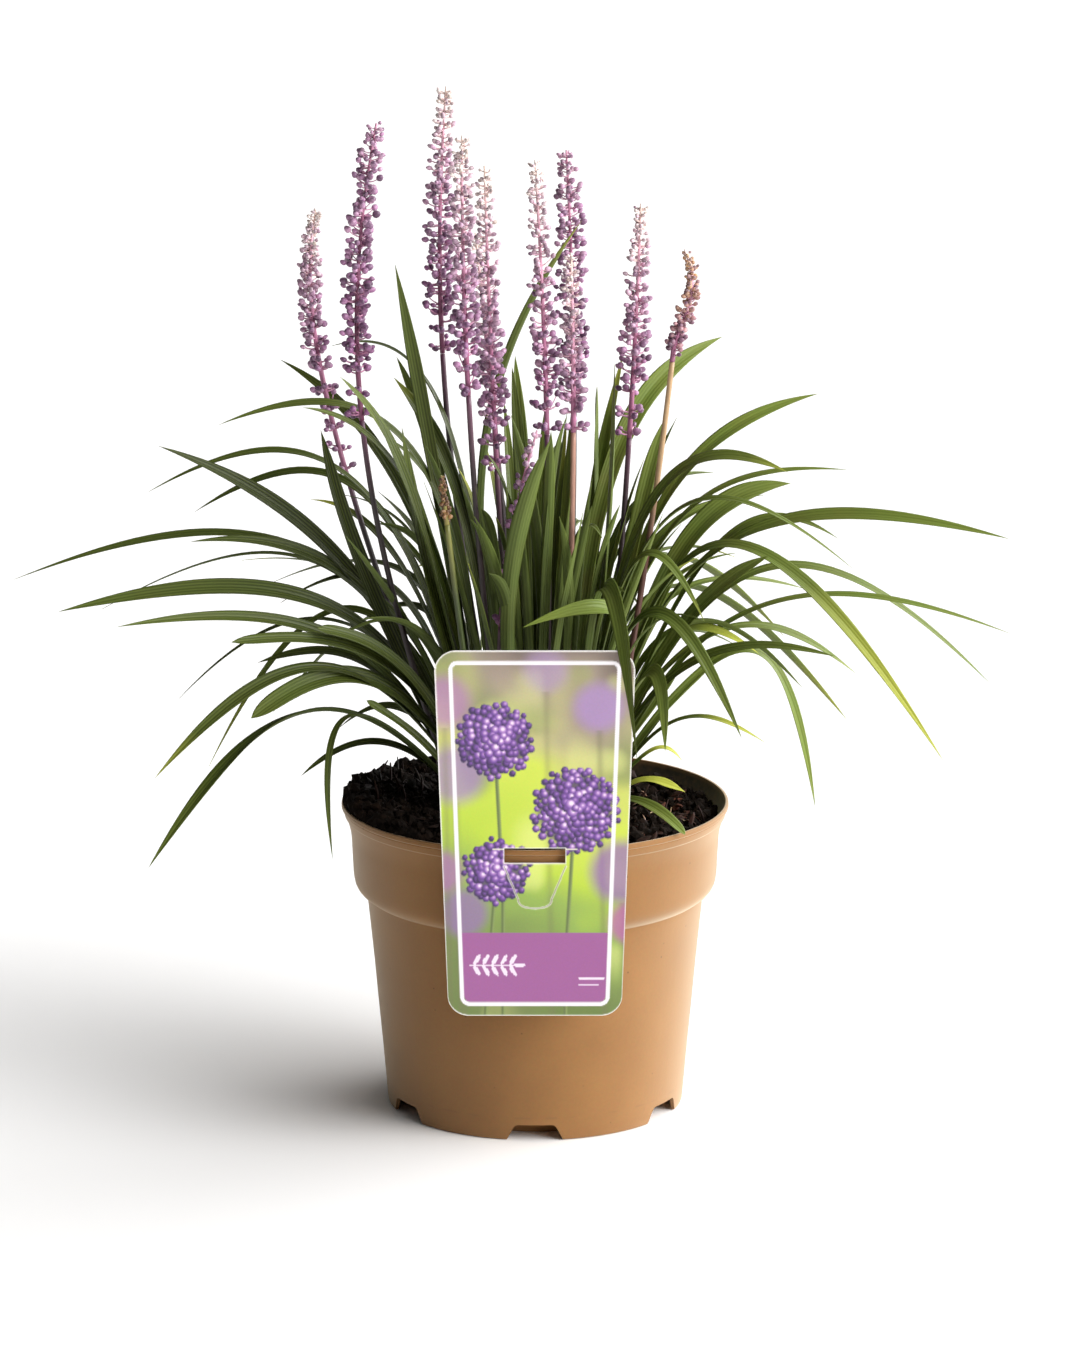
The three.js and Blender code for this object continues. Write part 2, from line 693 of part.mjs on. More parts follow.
// Leaves placed by a rule, from nearly upright to arched over.
function ruledLeaves(heading, count) {
  const mix = THREE.MathUtils.lerp;
  const rows = [];
  for (let i = 0; i < count; i += 1) {
    const low = i / Math.max(1, count - 1);
    const u = fraction(heading * 0.017 + i * 0.618034);
    const v = fraction(heading * 0.029 + i * 0.754878);
    const sway = ruledSway * (0.2 + 0.8 * u) * (i % 2 ? -1 : 1);
    const angle = radians(heading + sway);
    const tipReach = mix(ruledTipReach[0], ruledTipReach[1], low ** 0.9) + ruledSpread * v;
    const tipHeight = mix(ruledTipHeight[0], ruledTipHeight[1], low ** 1.1) + ruledSpread * (u - 0.5);
    const middleReach = mix(ruledMiddleReach[0], ruledMiddleReach[1], low ** 0.9);
    const middleHeight = mix(ruledMiddleHeight[0], ruledMiddleHeight[1], low) + ruledSpread * (v - 0.5);
    rows.push([
      middleReach * Math.cos(angle),
      middleReach * Math.sin(angle),
      middleHeight,
      tipReach * Math.cos(angle),
      tipReach * Math.sin(angle),
      tipHeight,
      mix(ruledWidth[0], ruledWidth[1], v),
      ruledRoll * (u - 0.5),
      2 * ruledRoll * (u - 0.5),
    ]);
  }
  return rows;
}

function tuft({ name, heading, leaves, more = 0 }) {
  const rows = [...leaves, ...ruledLeaves(heading, more)];
  rows.sort((a, b) => steepness(heading, b) - steepness(heading, a));
  const blades = rows.map((row, i) => leaf(heading, row, i / (rows.length - 1)));
  return named(name, geometryOf(joined([crown(heading), ...blades])), 0x3a5a24, 0.45);
}

// ---- flower stalks and spikes -------------------------------------------------------------------

function stalkCurve({ foot, middle, tip }) {
  return bend(new THREE.Vector3(...foot, stalkFoot), new THREE.Vector3(...middle), new THREE.Vector3(...tip));
}

// A round rod along a stretch of a curve.
function rod(curve, from, to, steps, fromRadius, toRadius, sides) {
  const rings = [];
  for (let i = 0; i <= steps; i += 1) {
    const share = i / steps;
    const t = from + (to - from) * share;
    const along = curve.getTangent(t);
    const across = new THREE.Vector3(0, 1, 0).cross(along).normalize();
    const up = new THREE.Vector3().crossVectors(along, across);
    const r = fromRadius + (toRadius - fromRadius) * share;
    const ring = [];
    for (let j = 0; j < sides; j += 1) {
      const angle = (j * 2 * Math.PI) / sides;
      ring.push(
        curve
          .getPoint(t)
          .addScaledVector(across, r * Math.cos(angle))
          .addScaledVector(up, r * Math.sin(angle)),
      );
    }
    rings.push(ring);
  }
  return skin(rings);
}

function stalk(row) {
  const curve = stalkCurve(row);
  const clear = (1.2 * gap) / curve.getLength();
  const body = solid(
    rod(curve, clear, row.buds - clear, stalkSegments, stalkRadius, axisRadius, stalkSides),
  );
  return named("stalk_" + row.name, geometryOf(body), row.name === "faded" ? 0x5f6a2c : 0x4a3438, 0.55);
}

// True where the quad above side j of ring i has the tips of its buds at its first and third corners.
function tipsFirst(i, j) {
  return (i + j) % 2 === 0;
}

// A spike: a core with rounds of pointed buds raised from it, every other side of a round the tip of a bud,
// and the next round turned by one side. Loose rounds at the foot are set apart by the bare axis.
function spike(row) {
  const curve = stalkCurve(row);
  const length = curve.getLength();
  const ringAt = (t, shift, tipRadius, footRadius) => {
    const along = curve.getTangent(t);
    const across = new THREE.Vector3(0, 1, 0).cross(along).normalize();
    const up = new THREE.Vector3().crossVectors(along, across);
    const ring = [];
    for (let j = 0; j < budSides; j += 1) {
      const angle = (j * 2 * Math.PI) / budSides;
      const isTip = (j + shift) % 2 === 0;
      const r = isTip ? tipRadius : footRadius;
      ring.push(
        curve
          .getPoint(t)
          .addScaledVector(across, r * Math.cos(angle))
          .addScaledVector(up, r * Math.sin(angle))
          .addScaledVector(along, isTip && tipRadius > footRadius ? budLean : 0),
      );
    }
    return ring;
  };
  const rings = [ringAt(row.buds, 0, axisRadius, axisRadius)];
  let t = row.buds + budStep / length;
  while (t < 1 - budStep / length) {
    const loose = t < row.dense;
    const toTip = THREE.MathUtils.clamp((t - row.dense) / (1 - row.dense), 0, 1);
    const reach = THREE.MathUtils.lerp(row.reach ?? budReach, budReachTop, toTip ** 2);
    const core = loose ? axisRadius : THREE.MathUtils.lerp(coreRadius, axisRadius, toTip);
    rings.push(ringAt(t, rings.length, reach, core));
    t += budStep / length;
    if (loose) {
      rings.push(ringAt(t, rings.length, axisRadius, axisRadius));
      t += (looseStep - budStep) / length;
    }
  }
  rings.push([curve.getPoint(1)]);
  const color = row.name === "faded" ? 0x8a5a3a : 0x9a6a9e;
  return named("spike_" + row.name, geometryOf(solid(skin(rings, tipsFirst))), color, 0.6);
}

// ---- the whole ----------------------------------------------------------------------------------

const liriope = new THREE.Group();
liriope.add(pot(), soil(), label());
for (const row of tufts) liriope.add(tuft(row));
for (const row of stalks) liriope.add(stalk(row), spike(row));

export default liriope;
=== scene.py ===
import math

import bpy
import numpy as np
from mathutils.geometry import delaunay_2d_cdt
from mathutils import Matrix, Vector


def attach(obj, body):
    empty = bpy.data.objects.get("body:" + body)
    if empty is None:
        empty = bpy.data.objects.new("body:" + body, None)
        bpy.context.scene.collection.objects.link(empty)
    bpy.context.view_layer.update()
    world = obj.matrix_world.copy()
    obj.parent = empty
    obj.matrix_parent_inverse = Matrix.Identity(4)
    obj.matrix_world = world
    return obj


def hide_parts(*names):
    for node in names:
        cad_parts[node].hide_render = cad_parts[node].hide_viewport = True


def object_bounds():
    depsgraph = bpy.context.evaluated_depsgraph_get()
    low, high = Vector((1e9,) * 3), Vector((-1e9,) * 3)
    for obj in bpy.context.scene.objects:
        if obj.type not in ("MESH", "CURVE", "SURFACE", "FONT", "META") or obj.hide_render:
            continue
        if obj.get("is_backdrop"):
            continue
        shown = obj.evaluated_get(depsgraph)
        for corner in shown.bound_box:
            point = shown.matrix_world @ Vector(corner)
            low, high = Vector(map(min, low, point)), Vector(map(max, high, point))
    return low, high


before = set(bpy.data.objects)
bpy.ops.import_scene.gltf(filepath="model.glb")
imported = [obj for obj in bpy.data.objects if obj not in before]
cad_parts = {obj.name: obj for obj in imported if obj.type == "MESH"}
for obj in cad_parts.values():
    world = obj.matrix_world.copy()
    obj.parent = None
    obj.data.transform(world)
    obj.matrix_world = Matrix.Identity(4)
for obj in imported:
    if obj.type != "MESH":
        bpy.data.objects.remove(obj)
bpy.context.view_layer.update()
print("frame:", len(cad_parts), "nodes")

mm = 0.001
fullTurn = 2 * math.pi
goldenAngle = math.pi * (3 - math.sqrt(5))
# a mix node of colours: its colour sockets, its output and its settings
mixA, mixB, mixed = 6, 7, 2
plainMix = {"data_type": "RGBA"}
overlay = {"data_type": "RGBA", "blend_type": "OVERLAY"}


# ---- helpers

# sRGB hex to linear light: c / 12.92 near black, and above that ((c + 0.055) / 1.055) to the power 2.4
def linear(hexColour):
    channels = np.array([int(hexColour[k:k + 2], 16) for k in (1, 3, 5)]) / 255
    light = np.where(channels <= 0.04045, channels / 12.92, ((channels + 0.055) / 1.055) ** 2.4)
    return (*light.tolist(), 1.0)


# Links outputs of other nodes to a node's sockets.
def linkTo(node, links):
    for socket, (source, output) in links.items():
        node.id_data.links.new(source.outputs[output], node.inputs[socket])


# Adds a node: its settings, the values of its sockets, links from other nodes, and a ramp's stops.
def addNode(tree, kind, values=None, links=None, stops=(), **settings):
    node = tree.nodes.new("ShaderNode" + kind)
    for name, value in settings.items():
        setattr(node, name, value)
    for socket, value in (values or {}).items():
        node.inputs[socket].default_value = value
    linkTo(node, links or {})
    for k, (position, colour) in enumerate(stops):
        elements = node.color_ramp.elements
        stop = elements[k] if k < len(elements) else elements.new(position)
        stop.position = position
        stop.color = linear(colour)
    return node


# A new material with its shader, and the link that gives a pattern the piece's own coordinates. Constants are
# set on the shader's own sockets.
def startMaterial(name, roughness, ior=1.5, coat=0.0, coatRoughness=0.1, sheen=0.0, gloss=0.5):
    material = bpy.data.materials.new(name)
    material.use_nodes = True
    tree = material.node_tree
    tree.nodes.clear()
    shader = addNode(tree, "BsdfPrincipled", {
        "Roughness": roughness, "IOR": ior, "Coat Weight": coat, "Coat Roughness": coatRoughness,
        "Sheen Weight": sheen, "Specular IOR Level": gloss})
    addNode(tree, "OutputMaterial", links={"Surface": (shader, "BSDF")})
    return material, tree, shader, {"Vector": (addNode(tree, "TexCoord"), "Object")}


# Puts whole arrays into a mesh. faceLists holds a list of arrays of corners for each material in turn, and
# numbers and colours are the points' attributes.
def makePiece(name, points, faceLists, materials, numbers=None, colours=None, smooth=True, sharpAngle=None):
    mesh = bpy.data.meshes.new(name)
    arrays = [faces for faceList in faceLists for faces in faceList]
    used, corners = np.unique(np.concatenate([faces.ravel() for faces in arrays]), return_inverse=True)
    points = points[used]
    mesh.vertices.add(len(points))
    mesh.vertices.foreach_set("co", (points * mm).astype(np.float32).ravel())
    sizes = np.concatenate([np.full(len(faces), faces.shape[1]) for faces in arrays])
    finish = np.repeat(np.arange(len(faceLists)), [sum(map(len, faceList)) for faceList in faceLists])
    mesh.loops.add(len(corners))
    mesh.loops.foreach_set("vertex_index", corners.ravel().astype(np.int32))
    mesh.polygons.add(len(sizes))
    mesh.polygons.foreach_set("loop_start", (np.cumsum(sizes) - sizes).astype(np.int32))
    mesh.polygons.foreach_set("material_index", finish.astype(np.int32))
    mesh.polygons.foreach_set("use_smooth", np.full(len(sizes), smooth))
    for key, values in (numbers or {}).items():
        layer = mesh.attributes.new(key, "FLOAT", "POINT")
        layer.data.foreach_set("value", np.asarray(values, np.float32)[used])
    for key, values in (colours or {}).items():
        layer = mesh.attributes.new(key, "FLOAT_COLOR", "POINT")
        solid = np.concatenate([values, np.ones((len(values), 1))], 1)
        layer.data.foreach_set("color", solid.astype(np.float32)[used].ravel())
    mesh.update(calc_edges=True)
    mesh.validate()
    if sharpAngle:
        mesh.set_sharp_from_angle(angle=math.radians(sharpAngle))
    for material in materials:
        mesh.materials.append(material)
    piece = bpy.data.objects.new(name, mesh)
    bpy.context.scene.collection.objects.link(piece)
    return piece


# Quads of a grid of points numbered row by row, whose last column joins the first.
def gridFaces(rows, columns):
    i, j = np.meshgrid(np.arange(rows - 1), np.arange(columns), indexing="ij")
    k = (j + 1) % columns
    corners = [i * columns + j, i * columns + k, (i + 1) * columns + k, (i + 1) * columns + j]
    return np.stack(corners, -1).reshape(-1, 4)


# Triangles from one point to a ring of points.
def fanFaces(centre, ring):
    return np.stack([np.full(len(ring), centre), ring, np.roll(ring, -1)], 1)


# The faces of such a grid, its first row closed round the point after the grid, and its last round the next.
def tubeFaces(rows, columns):
    ring, count = np.arange(columns), rows * columns
    bottom, top = fanFaces(count, ring)[:, ::-1], fanFaces(count + 1, count - columns + ring)
    return [gridFaces(rows, columns), bottom, top]


# The same faces for many copies whose points follow each other, step points apart.
def repeated(faces, count, step):
    return (faces[None] + (np.arange(count) * step)[:, None, None]).reshape(-1, faces.shape[1])


# Points at a radius, an angle and a height.
def polar(r, angle, z):
    return np.stack(np.broadcast_arrays(r * np.cos(angle), r * np.sin(angle), z), -1)


# Value noise: random heights on a lattice of the given size, blended with a smooth step between them.
def lumps(x, y, size, seed):
    table = np.random.default_rng(seed).uniform(-1, 1, (64, 64))
    gx, gy = x / size, y / size
    ix, iy = np.floor(gx).astype(int), np.floor(gy).astype(int)
    fx, fy = gx - ix, gy - iy
    fx, fy = fx * fx * (3 - 2 * fx), fy * fy * (3 - 2 * fy)
    at = lambda i, j: table[i % 64, j % 64]
    low = at(ix, iy) * (1 - fx) + at(ix + 1, iy) * fx
    high = at(ix, iy + 1) * (1 - fx) + at(ix + 1, iy + 1) * fx
    return low * (1 - fy) + high * fy


def blend(a, b, share):
    return a + (b - a) * share


# 0 below the first edge, 1 above the second, and a smooth step between.
def softStep(low, high, x):
    share = np.clip((x - low) / (high - low), 0, 1)
    return share * share * (3 - 2 * share)


def unit(vectors):
    return vectors / np.linalg.norm(vectors, axis=-1, keepdims=True)


# A parabola from a to c that sets out towards b.
def parabola(a, b, c, t):
    return (1 - t) ** 2 * a + 2 * t * (1 - t) * b + t * t * c


# The four control points of the cubic through a root, a middle point and a tip that bends most at the
# middle: the inner two lie three quarters of the way from each end to a knee.
def bendControls(root, middle, tip, tightness=0.75):
    ends = (1 + 3 * (1 - tightness)) / 8
    knee = (middle - ends * (root + tip)) / (6 * tightness / 8)
    return root, blend(root, knee, tightness), blend(tip, knee, tightness), tip


# Points and unit tangents of cubics: sums of the control points weighted by (1 - t) and t to the third.
def along(controls, t):
    a, b, c, d = [point[..., None, :] for point in controls]
    t = t[..., :, None]
    s = 1 - t
    points = s ** 3 * a + 3 * s * s * t * b + 3 * s * t * t * c + t ** 3 * d
    return points, unit(s * s * (b - a) + 2 * s * t * (c - b) + t * t * (d - c))


# The colour of each value on a ramp of hex stops, in linear light.
def ramp(values, stops):
    at = [position for position, _ in stops]
    colours = np.array([linear(colour)[:3] for _, colour in stops])
    return np.stack([np.interp(values, at, colours[:, k]) for k in range(3)], -1)


# ---- camera, light and floor

# in metres, with the pitch in degrees down and the lens and sensor in millimetres
view = {"aim": (0.00193, 0.0, 0.1696), "distance": 2.4, "pitch": 13.82, "lens": 165.87, "sensor": 36}
# soft boxes: where each stands (degrees to the right of the front, and up), how bright and how narrow it is
softBoxes = [(62.0, 24.0, 12.4, 14.0), (118.0, 14.0, 6.5, 6.0), (0.0, 90.0, 0.3, 3.0)]
roomLight = 0.02
floorShape = {"half": 14000.0, "level": -0.2}

cameraData = bpy.data.cameras.new("camera")
cameraData.sensor_width = view["sensor"]
cameraData.lens = view["lens"]
cameraData.clip_end = 100
camera = bpy.data.objects.new("camera", cameraData)
pitch = math.radians(view["pitch"])
camera.location = (view["aim"][0], -view["distance"] * math.cos(pitch),
                   view["aim"][2] + view["distance"] * math.sin(pitch))
camera.rotation_euler = (math.pi / 2 - pitch, 0, 0)
bpy.context.scene.collection.objects.link(camera)
bpy.context.scene.camera = camera
bpy.context.scene.view_settings.view_transform = "Standard"

# the studio: a dim room with a big soft box at the right, one behind it and a weak one overhead; each is
# brightest in its own direction and fades as a power of the cosine to it
world = bpy.data.worlds.new("studio")
world.use_nodes = True
tree = world.node_tree
around = addNode(tree, "TexCoord")
total = addNode(tree, "Math", {0: roomLight, 1: 0.0}, operation="ADD")
for azimuth, elevation, brightness, narrowness in softBoxes:
    a, e = math.radians(azimuth), math.radians(elevation)
    towards = (math.sin(a) * math.cos(e), -math.cos(a) * math.cos(e), math.sin(e))
    cosine = addNode(tree, "VectorMath", {1: towards}, {0: (around, "Generated")}, operation="DOT_PRODUCT")
    positive = addNode(tree, "Math", {1: 0.0}, {0: (cosine, "Value")}, operation="MAXIMUM")
    lobe = addNode(tree, "Math", {1: narrowness}, {0: (positive, 0)}, operation="POWER")
    total = addNode(tree, "Math", {1: brightness}, {0: (lobe, 0), 2: (total, 0)}, operation="MULTIPLY_ADD")
linkTo(tree.nodes["Background"], {"Strength": (total, 0)})
tree.nodes["Background"].inputs["Color"].default_value = (1, 1, 1, 1)
bpy.context.scene.world = world

# matt white paper, with a very slight unevenness
paper, tree, shader, placed = startMaterial("paper_floor_matt", 0.9)
cloud = addNode(tree, "TexNoise", {"Scale": 3.0, "Detail": 2.0}, placed)
tone = addNode(tree, "ValToRGB", links={"Fac": (cloud, 0)}, stops=[(0.3, "#FAF9F8"), (0.7, "#FBFAF9")])
half, level = floorShape["half"], floorShape["level"]
corners = np.array([[x, y, level] for x, y in ((-half, -half), (half, -half), (half, half), (-half, half))])
floor = makePiece("floor", corners, [[np.array([[0, 1, 2, 3]])]], [paper])
floor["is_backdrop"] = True
print("camera, light and floor")
linkTo(shader, {"Base Color": (tone, "Color")})


# ---- pot

potShape = {
    "foot": 57.5, "wall": 1.3, "bottomMiddle": 46.5, "channelTop": 48.0, "channelHeight": 6.7,
    "floorThickness": 1.5, "discRings": [8, 24], "footLean": 0.09,
    "footLevels": [6.4, 6.2, 6.05, 5.8, 5.4, 4.9, 3.2, 0.7, 0.15, 0.0],
    "footSteps": [0, 0, 0, 0, 0, 0, 0, 0, 0.12, 0.4],  # the rounding of the foot's two bottom edges
    "notches": 6, "columnsPerNotch": 48, "edgeColumn": 7, "drawnAside": 2.4,
    "notchHalfWidth": 10.8, "notchLean": 3.1, "notchHeight": 6.2, "notchCorner": 1.3,
}

# Corners of the pot's outside above the foot: radius, height, and how far from the corner its rounding
# starts; then those of its inside, from the rim down to the floor.
potOutside = [
    (58.2, 8, 0), (59.4, 22, 0), (61.0, 39, 0), (62.6, 57, 0), (65.3, 83.7, 0.3), (69.8, 86.6, 3.2),
    (70.5, 92, 0), (71.3, 108.5, 3.0), (73.1, 114.5, 0.3), (73.75, 115.0, 0.25), (74.45, 117.45, 0.12),
    (74.3, 117.7, 0.1), (75.0, 118.1, 0.3), (75.0, 119.05, 0.1), (74.85, 119.2, 0.08), (75.0, 119.4, 0.2),
    (74.75, 120.0, 0.25), (73.8, 120.0, 0.3),
]
potInside = [
    (73.6, 118, 0), (72.2, 115, 0.5), (70.1, 110, 2), (69.2, 94, 0), (68.8, 87.8, 2), (64.0, 84.6, 1.5),
    (59.7, 39, 0), (56.3, 8.2, 1), (46.7, 8.2, 0.6), (45.2, 1.5, 0.6),
]


# Rounds the corners of an outline: each becomes a short parabola between points cut off its two sides.
def rounded(corners, steps=4):
    made = []
    for k, (r, z, cut) in enumerate(corners):
        here = np.array([r, z])
        if cut == 0 or k in (0, len(corners) - 1):
            made.append(here)
            continue
        before, after = (here + unit(np.array(corners[other][:2]) - here) * cut for other in (k - 1, k + 1))
        made += [parabola(before, here, after, share) for share in np.linspace(0, 1, steps + 1)]
    return made


# A closed lathe shape: the outline's radius and height carried round the axis. Round the foot the columns
# are drawn aside so that two of them follow the sides of each notch, and the notch is left open there.
def potMesh(s):
    inner, low, high = s["foot"] - s["wall"], s["bottomMiddle"], s["channelHeight"]
    foot = list(zip(s["footLevels"], s["footSteps"]))
    innerFoot = [(inner + step, level) for level, step in foot]
    outerFoot = [(s["foot"] + s["footLean"] * level - step, level) for level, step in foot[::-1]]
    start = [(low, 0.0), (low + 0.25, 0.4), (s["channelTop"] - 0.2, high - 0.4),
             (s["channelTop"] + 0.3, high), (inner - 0.4, high)]
    under, over = [(r, 0) for r in s["discRings"]], [(r, s["floorThickness"]) for r in s["discRings"][::-1]]
    outline = np.array(under + start + innerFoot + outerFoot + rounded(potOutside + potInside) + over)
    rows = len(outline)
    footFirst = len(s["discRings"]) + len(start)
    firstOpen = footFirst + 1  # the row at the top of a notch, on the foot's inner side
    lastOpen = firstOpen + 2 * len(foot) - 3
    perNotch, edgeColumn = s["columnsPerNotch"], s["edgeColumn"]
    columns = s["notches"] * perNotch
    spread = fullTurn / columns
    edge = edgeColumn * spread
    free = s["drawnAside"] * edge
    # half the notch's width on each row: it leans in and has round corners at its top
    r, z = outline.T
    intoCorner = np.clip(z - (s["notchHeight"] - s["notchCorner"]), 0, s["notchCorner"])
    corner = s["notchCorner"] - np.sqrt(s["notchCorner"] ** 2 - intoCorner ** 2)
    halfWidth = s["notchHalfWidth"] - s["notchLean"] * z / s["notchHeight"] - corner
    inFoot = (np.arange(rows) >= firstOpen - 1) & (np.arange(rows) <= lastOpen + 1)
    edgeAngle = np.where(inFoot, np.arcsin(np.clip(halfWidth / r, 0, 1)), edge)
    # each column's angle from the middle of its notch, before and after it is drawn aside
    column = np.arange(columns)
    local = ((column + perNotch // 2) % perNotch - perNotch // 2) * spread
    middle = column * spread - local - math.pi / 2
    size = np.abs(local)
    inside = size[None] * (edgeAngle / edge)[:, None]
    outside = edgeAngle[:, None] + (size[None] - edge) * ((free - edgeAngle) / (free - edge))[:, None]
    moved = np.where(size <= edge + 1e-9, inside, np.where(size < free, outside, size[None]))
    points = polar(r[:, None], middle + np.sign(local) * moved, z[:, None]).reshape(-1, 3)
    points = np.concatenate([points, [[0, 0, 0], [0, 0, s["floorThickness"]]]])
    # the wall is left out in the notches, and their roofs and sides close it there
    faces, bottom, top = tubeFaces(rows, columns)
    faceRow, faceColumn = np.divmod(np.arange(len(faces)), columns)
    faceLocal = (faceColumn + perNotch // 2) % perNotch - perNotch // 2
    isOpen = (faceLocal >= -edgeColumn) & (faceLocal < edgeColumn)
    isOpen &= (faceRow >= firstOpen) & (faceRow < lastOpen)
    across = column[(local >= -edge - 1e-9) & (local < edge - 1e-9)]
    beside = (across + 1) % columns
    roof = np.stack([firstOpen * columns + across, firstOpen * columns + beside,
                     lastOpen * columns + beside, lastOpen * columns + across], 1)
    level = np.arange(firstOpen, firstOpen + (lastOpen - firstOpen) // 2)
    mirrored = firstOpen + lastOpen - level
    wall = lambda c: np.stack([level * columns + c, mirrored * columns + c,
                               (mirrored - 1) * columns + c, (level + 1) * columns + c], 1)
    sides = []
    for notch in np.arange(s["notches"]) * perNotch:
        sides += [wall((notch - edgeColumn) % columns), wall((notch + edgeColumn) % columns)[:, ::-1]]
    # from the rim on, the rows are the inner wall
    rim = footFirst + 2 * len(foot) + len(rounded(potOutside + potInside[:1])) - 1
    insideShare = np.concatenate([np.repeat(np.arange(rows) >= rim, columns), [0, 1]])
    return points, [faces[~isOpen], roof, *sides, bottom, top], insideShare


# Polypropylene, coloured right through and injection-moulded: a satin skin with faint flow marks, fine dark
# specks of the recycled plastic, a scuffed ring near the foot, and peat dust with painted shade on the inner
# wall.
potPlastic, tree, shader, placed = startMaterial("polypropylene_moulded_taupe", 0.45, ior=1.49, sheen=0.65,
                                                 gloss=0.1)
shader.inputs["Sheen Tint"].default_value = linear("#FFF2D8")
mottle = addNode(tree, "TexNoise", {"Scale": 1 / (28 * mm), "Detail": 3.0}, placed)
tone = addNode(tree, "ValToRGB", links={"Fac": (mottle, 0)}, stops=[(0.3, "#825A32"), (0.7, "#8A6136")])
grain = addNode(tree, "TexNoise", {"Scale": 1 / (1.2 * mm), "Detail": 2.0}, placed)
grained = addNode(tree, "Mix", {0: 0.10}, {mixA: (tone, "Color"), mixB: (grain, 1)}, **overlay)
# specks: spots under 1 mm across, where the middle of a 9 mm cell lies near the surface
cells = addNode(tree, "TexVoronoi", {"Scale": 1 / (9 * mm)}, placed)
speck = addNode(tree, "MapRange", {"From Min": 0.03, "From Max": 0.055, "To Min": 0.75, "To Max": 0.0},
                {"Value": (cells, "Distance")})
specked = addNode(tree, "Mix", {mixB: linear("#4A3220")},
                  {0: (speck, "Result"), mixA: (grained, mixed)}, **plainMix)
# the scuffed ring: a band under 1 mm high at 9 mm, broken up by noise
spot = addNode(tree, "SeparateXYZ", links=placed)
offRing = addNode(tree, "Math", {1: 9 * mm}, {0: (spot, "Z")}, operation="SUBTRACT")
fromRing = addNode(tree, "Math", links={0: (offRing, 0)}, operation="ABSOLUTE")
ring = addNode(tree, "MapRange", {"From Min": 0.2 * mm, "From Max": 0.55 * mm, "To Min": 0.5, "To Max": 0.0},
               {"Value": (fromRing, 0)})
scuff = addNode(tree, "TexNoise", {"Scale": 1 / (6 * mm), "Detail": 1.0}, placed)
broken = addNode(tree, "MapRange", {"From Min": 0.5, "From Max": 0.62}, {"Value": (scuff, 0)})
ringMark = addNode(tree, "Math", links={0: (ring, "Result"), 1: (broken, "Result")}, operation="MULTIPLY")
ringed = addNode(tree, "Mix", {mixB: linear("#7A5534")},
                 {0: (ringMark, 0), mixA: (specked, mixed)}, **plainMix)
# the inner wall is painted nearly black: peat dust and painted shade in the pot's hollow
inner = addNode(tree, "Attribute", attribute_name="inside")
dustAndShadeNoise = addNode(tree, "TexNoise", {"Scale": 1 / (3 * mm), "Detail": 4.0}, placed)
dustAndShadeShare = addNode(tree, "MapRange", {"From Min": 0.35, "From Max": 0.6, "To Min": 0.7, "To Max": 0.97},
                {"Value": (dustAndShadeNoise, 0)})
dustAndShade = addNode(tree, "Math", links={0: (dustAndShadeShare, "Result"), 1: (inner, "Fac")}, operation="MULTIPLY")
dustedAndShaded = addNode(tree, "Mix", {mixB: linear("#1F1610")}, {0: (dustAndShade, 0), mixA: (ringed, mixed)}, **plainMix)
# flow marks run up the wall: noise drawn out ten times in height, about 0.02 mm deep
drawn = addNode(tree, "Mapping", {"Scale": (1.0, 1.0, 0.1)}, placed)
flow = addNode(tree, "TexNoise", {"Scale": 1 / (5 * mm), "Detail": 3.0}, {"Vector": (drawn, "Vector")})
flowBump = addNode(tree, "Bump", {"Strength": 0.25, "Distance": 0.1 * mm}, {"Height": (flow, 0)})
skinBump = addNode(tree, "Bump", {"Strength": 0.2, "Distance": 0.04 * mm},
                   {"Height": (grain, 0), "Normal": (flowBump, "Normal")})
satin = addNode(tree, "MapRange", {"To Min": 0.4, "To Max": 0.56}, {"Value": (mottle, 0)})
linkTo(shader, {
    "Base Color": (dustedAndShaded, mixed), "Normal": (skinBump, "Normal"), "Roughness": (satin, "Result")})

points, faces, insideShare = potMesh(potShape)
pot = makePiece("pot_shell", points, [faces], [potPlastic], {"inside": insideShare}, sharpAngle=38)
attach(pot, "root")
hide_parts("pot")
print("pot:", len(pot.data.polygons), "faces")


# ---- peat

peatShape = {
    "middle": 115.0, "dish": 3.4, "tilt": 4.8, "reach": 71.4, "rings": 110, "columns": 360, "gap": 0.3,
    "under": [(69.6, 110), (62.6, 77), (55.7, 8.5), (46.4, 8.5), (44.9, 1.8)], "rimTop": 120.3,
    "heaped": (119.6, 121.4), "heapWander": 1.2, "heapOver": 1.0, "rollFrom": 0.965, "roll": 0.5,
    "heapRoll": 1.4,
    "lumpSizes": [11.0, 5.0, 2.4, 1.2], "lumpHeights": [1.6, 1.7, 1.1, 0.6], "scatterReach": 72.4,
    "chipSizes": ((2.2, 7.0), (1.0, 2.6), (0.4, 0.8)),
    "crumbs": 3400, "crumbSize": (0.5, 2.7), "chips": 120, "fibres": 170, "threads": 9, "twigs": 54,
    "fibreReach": 70.5, "twigReach": 70.0, "seed": 11,
}
# the inner wall where the peat meets it: height and radius
wallLevels = np.array([87.8, 94, 110, 112, 115, 118, 120])
wallRadii = np.array([68.8, 69.2, 70.1, 70.9, 72.2, 73.5, 73.8])


# Height of the peat: a shallow dish, tilted up to the left, with lumps of four sizes on it. Absolute values
# of the noise make rounded lumps with creases between them.
def peatHeight(x, y):
    s = peatShape
    height = s["middle"] + s["dish"] * (np.hypot(x, y) / s["reach"]) ** 2 - s["tilt"] * x / s["reach"]
    for k, (size, swell) in enumerate(zip(s["lumpSizes"], s["lumpHeights"])):
        height = height + swell * (0.62 - 2 * np.abs(lumps(x + 3.1 * k, y, size, s["seed"] + k)))
    return height


# The radius that the peat reaches at a height, a little off the pot's wall.
def wallAt(level):
    return np.interp(level, wallLevels, wallRadii) - peatShape["gap"]


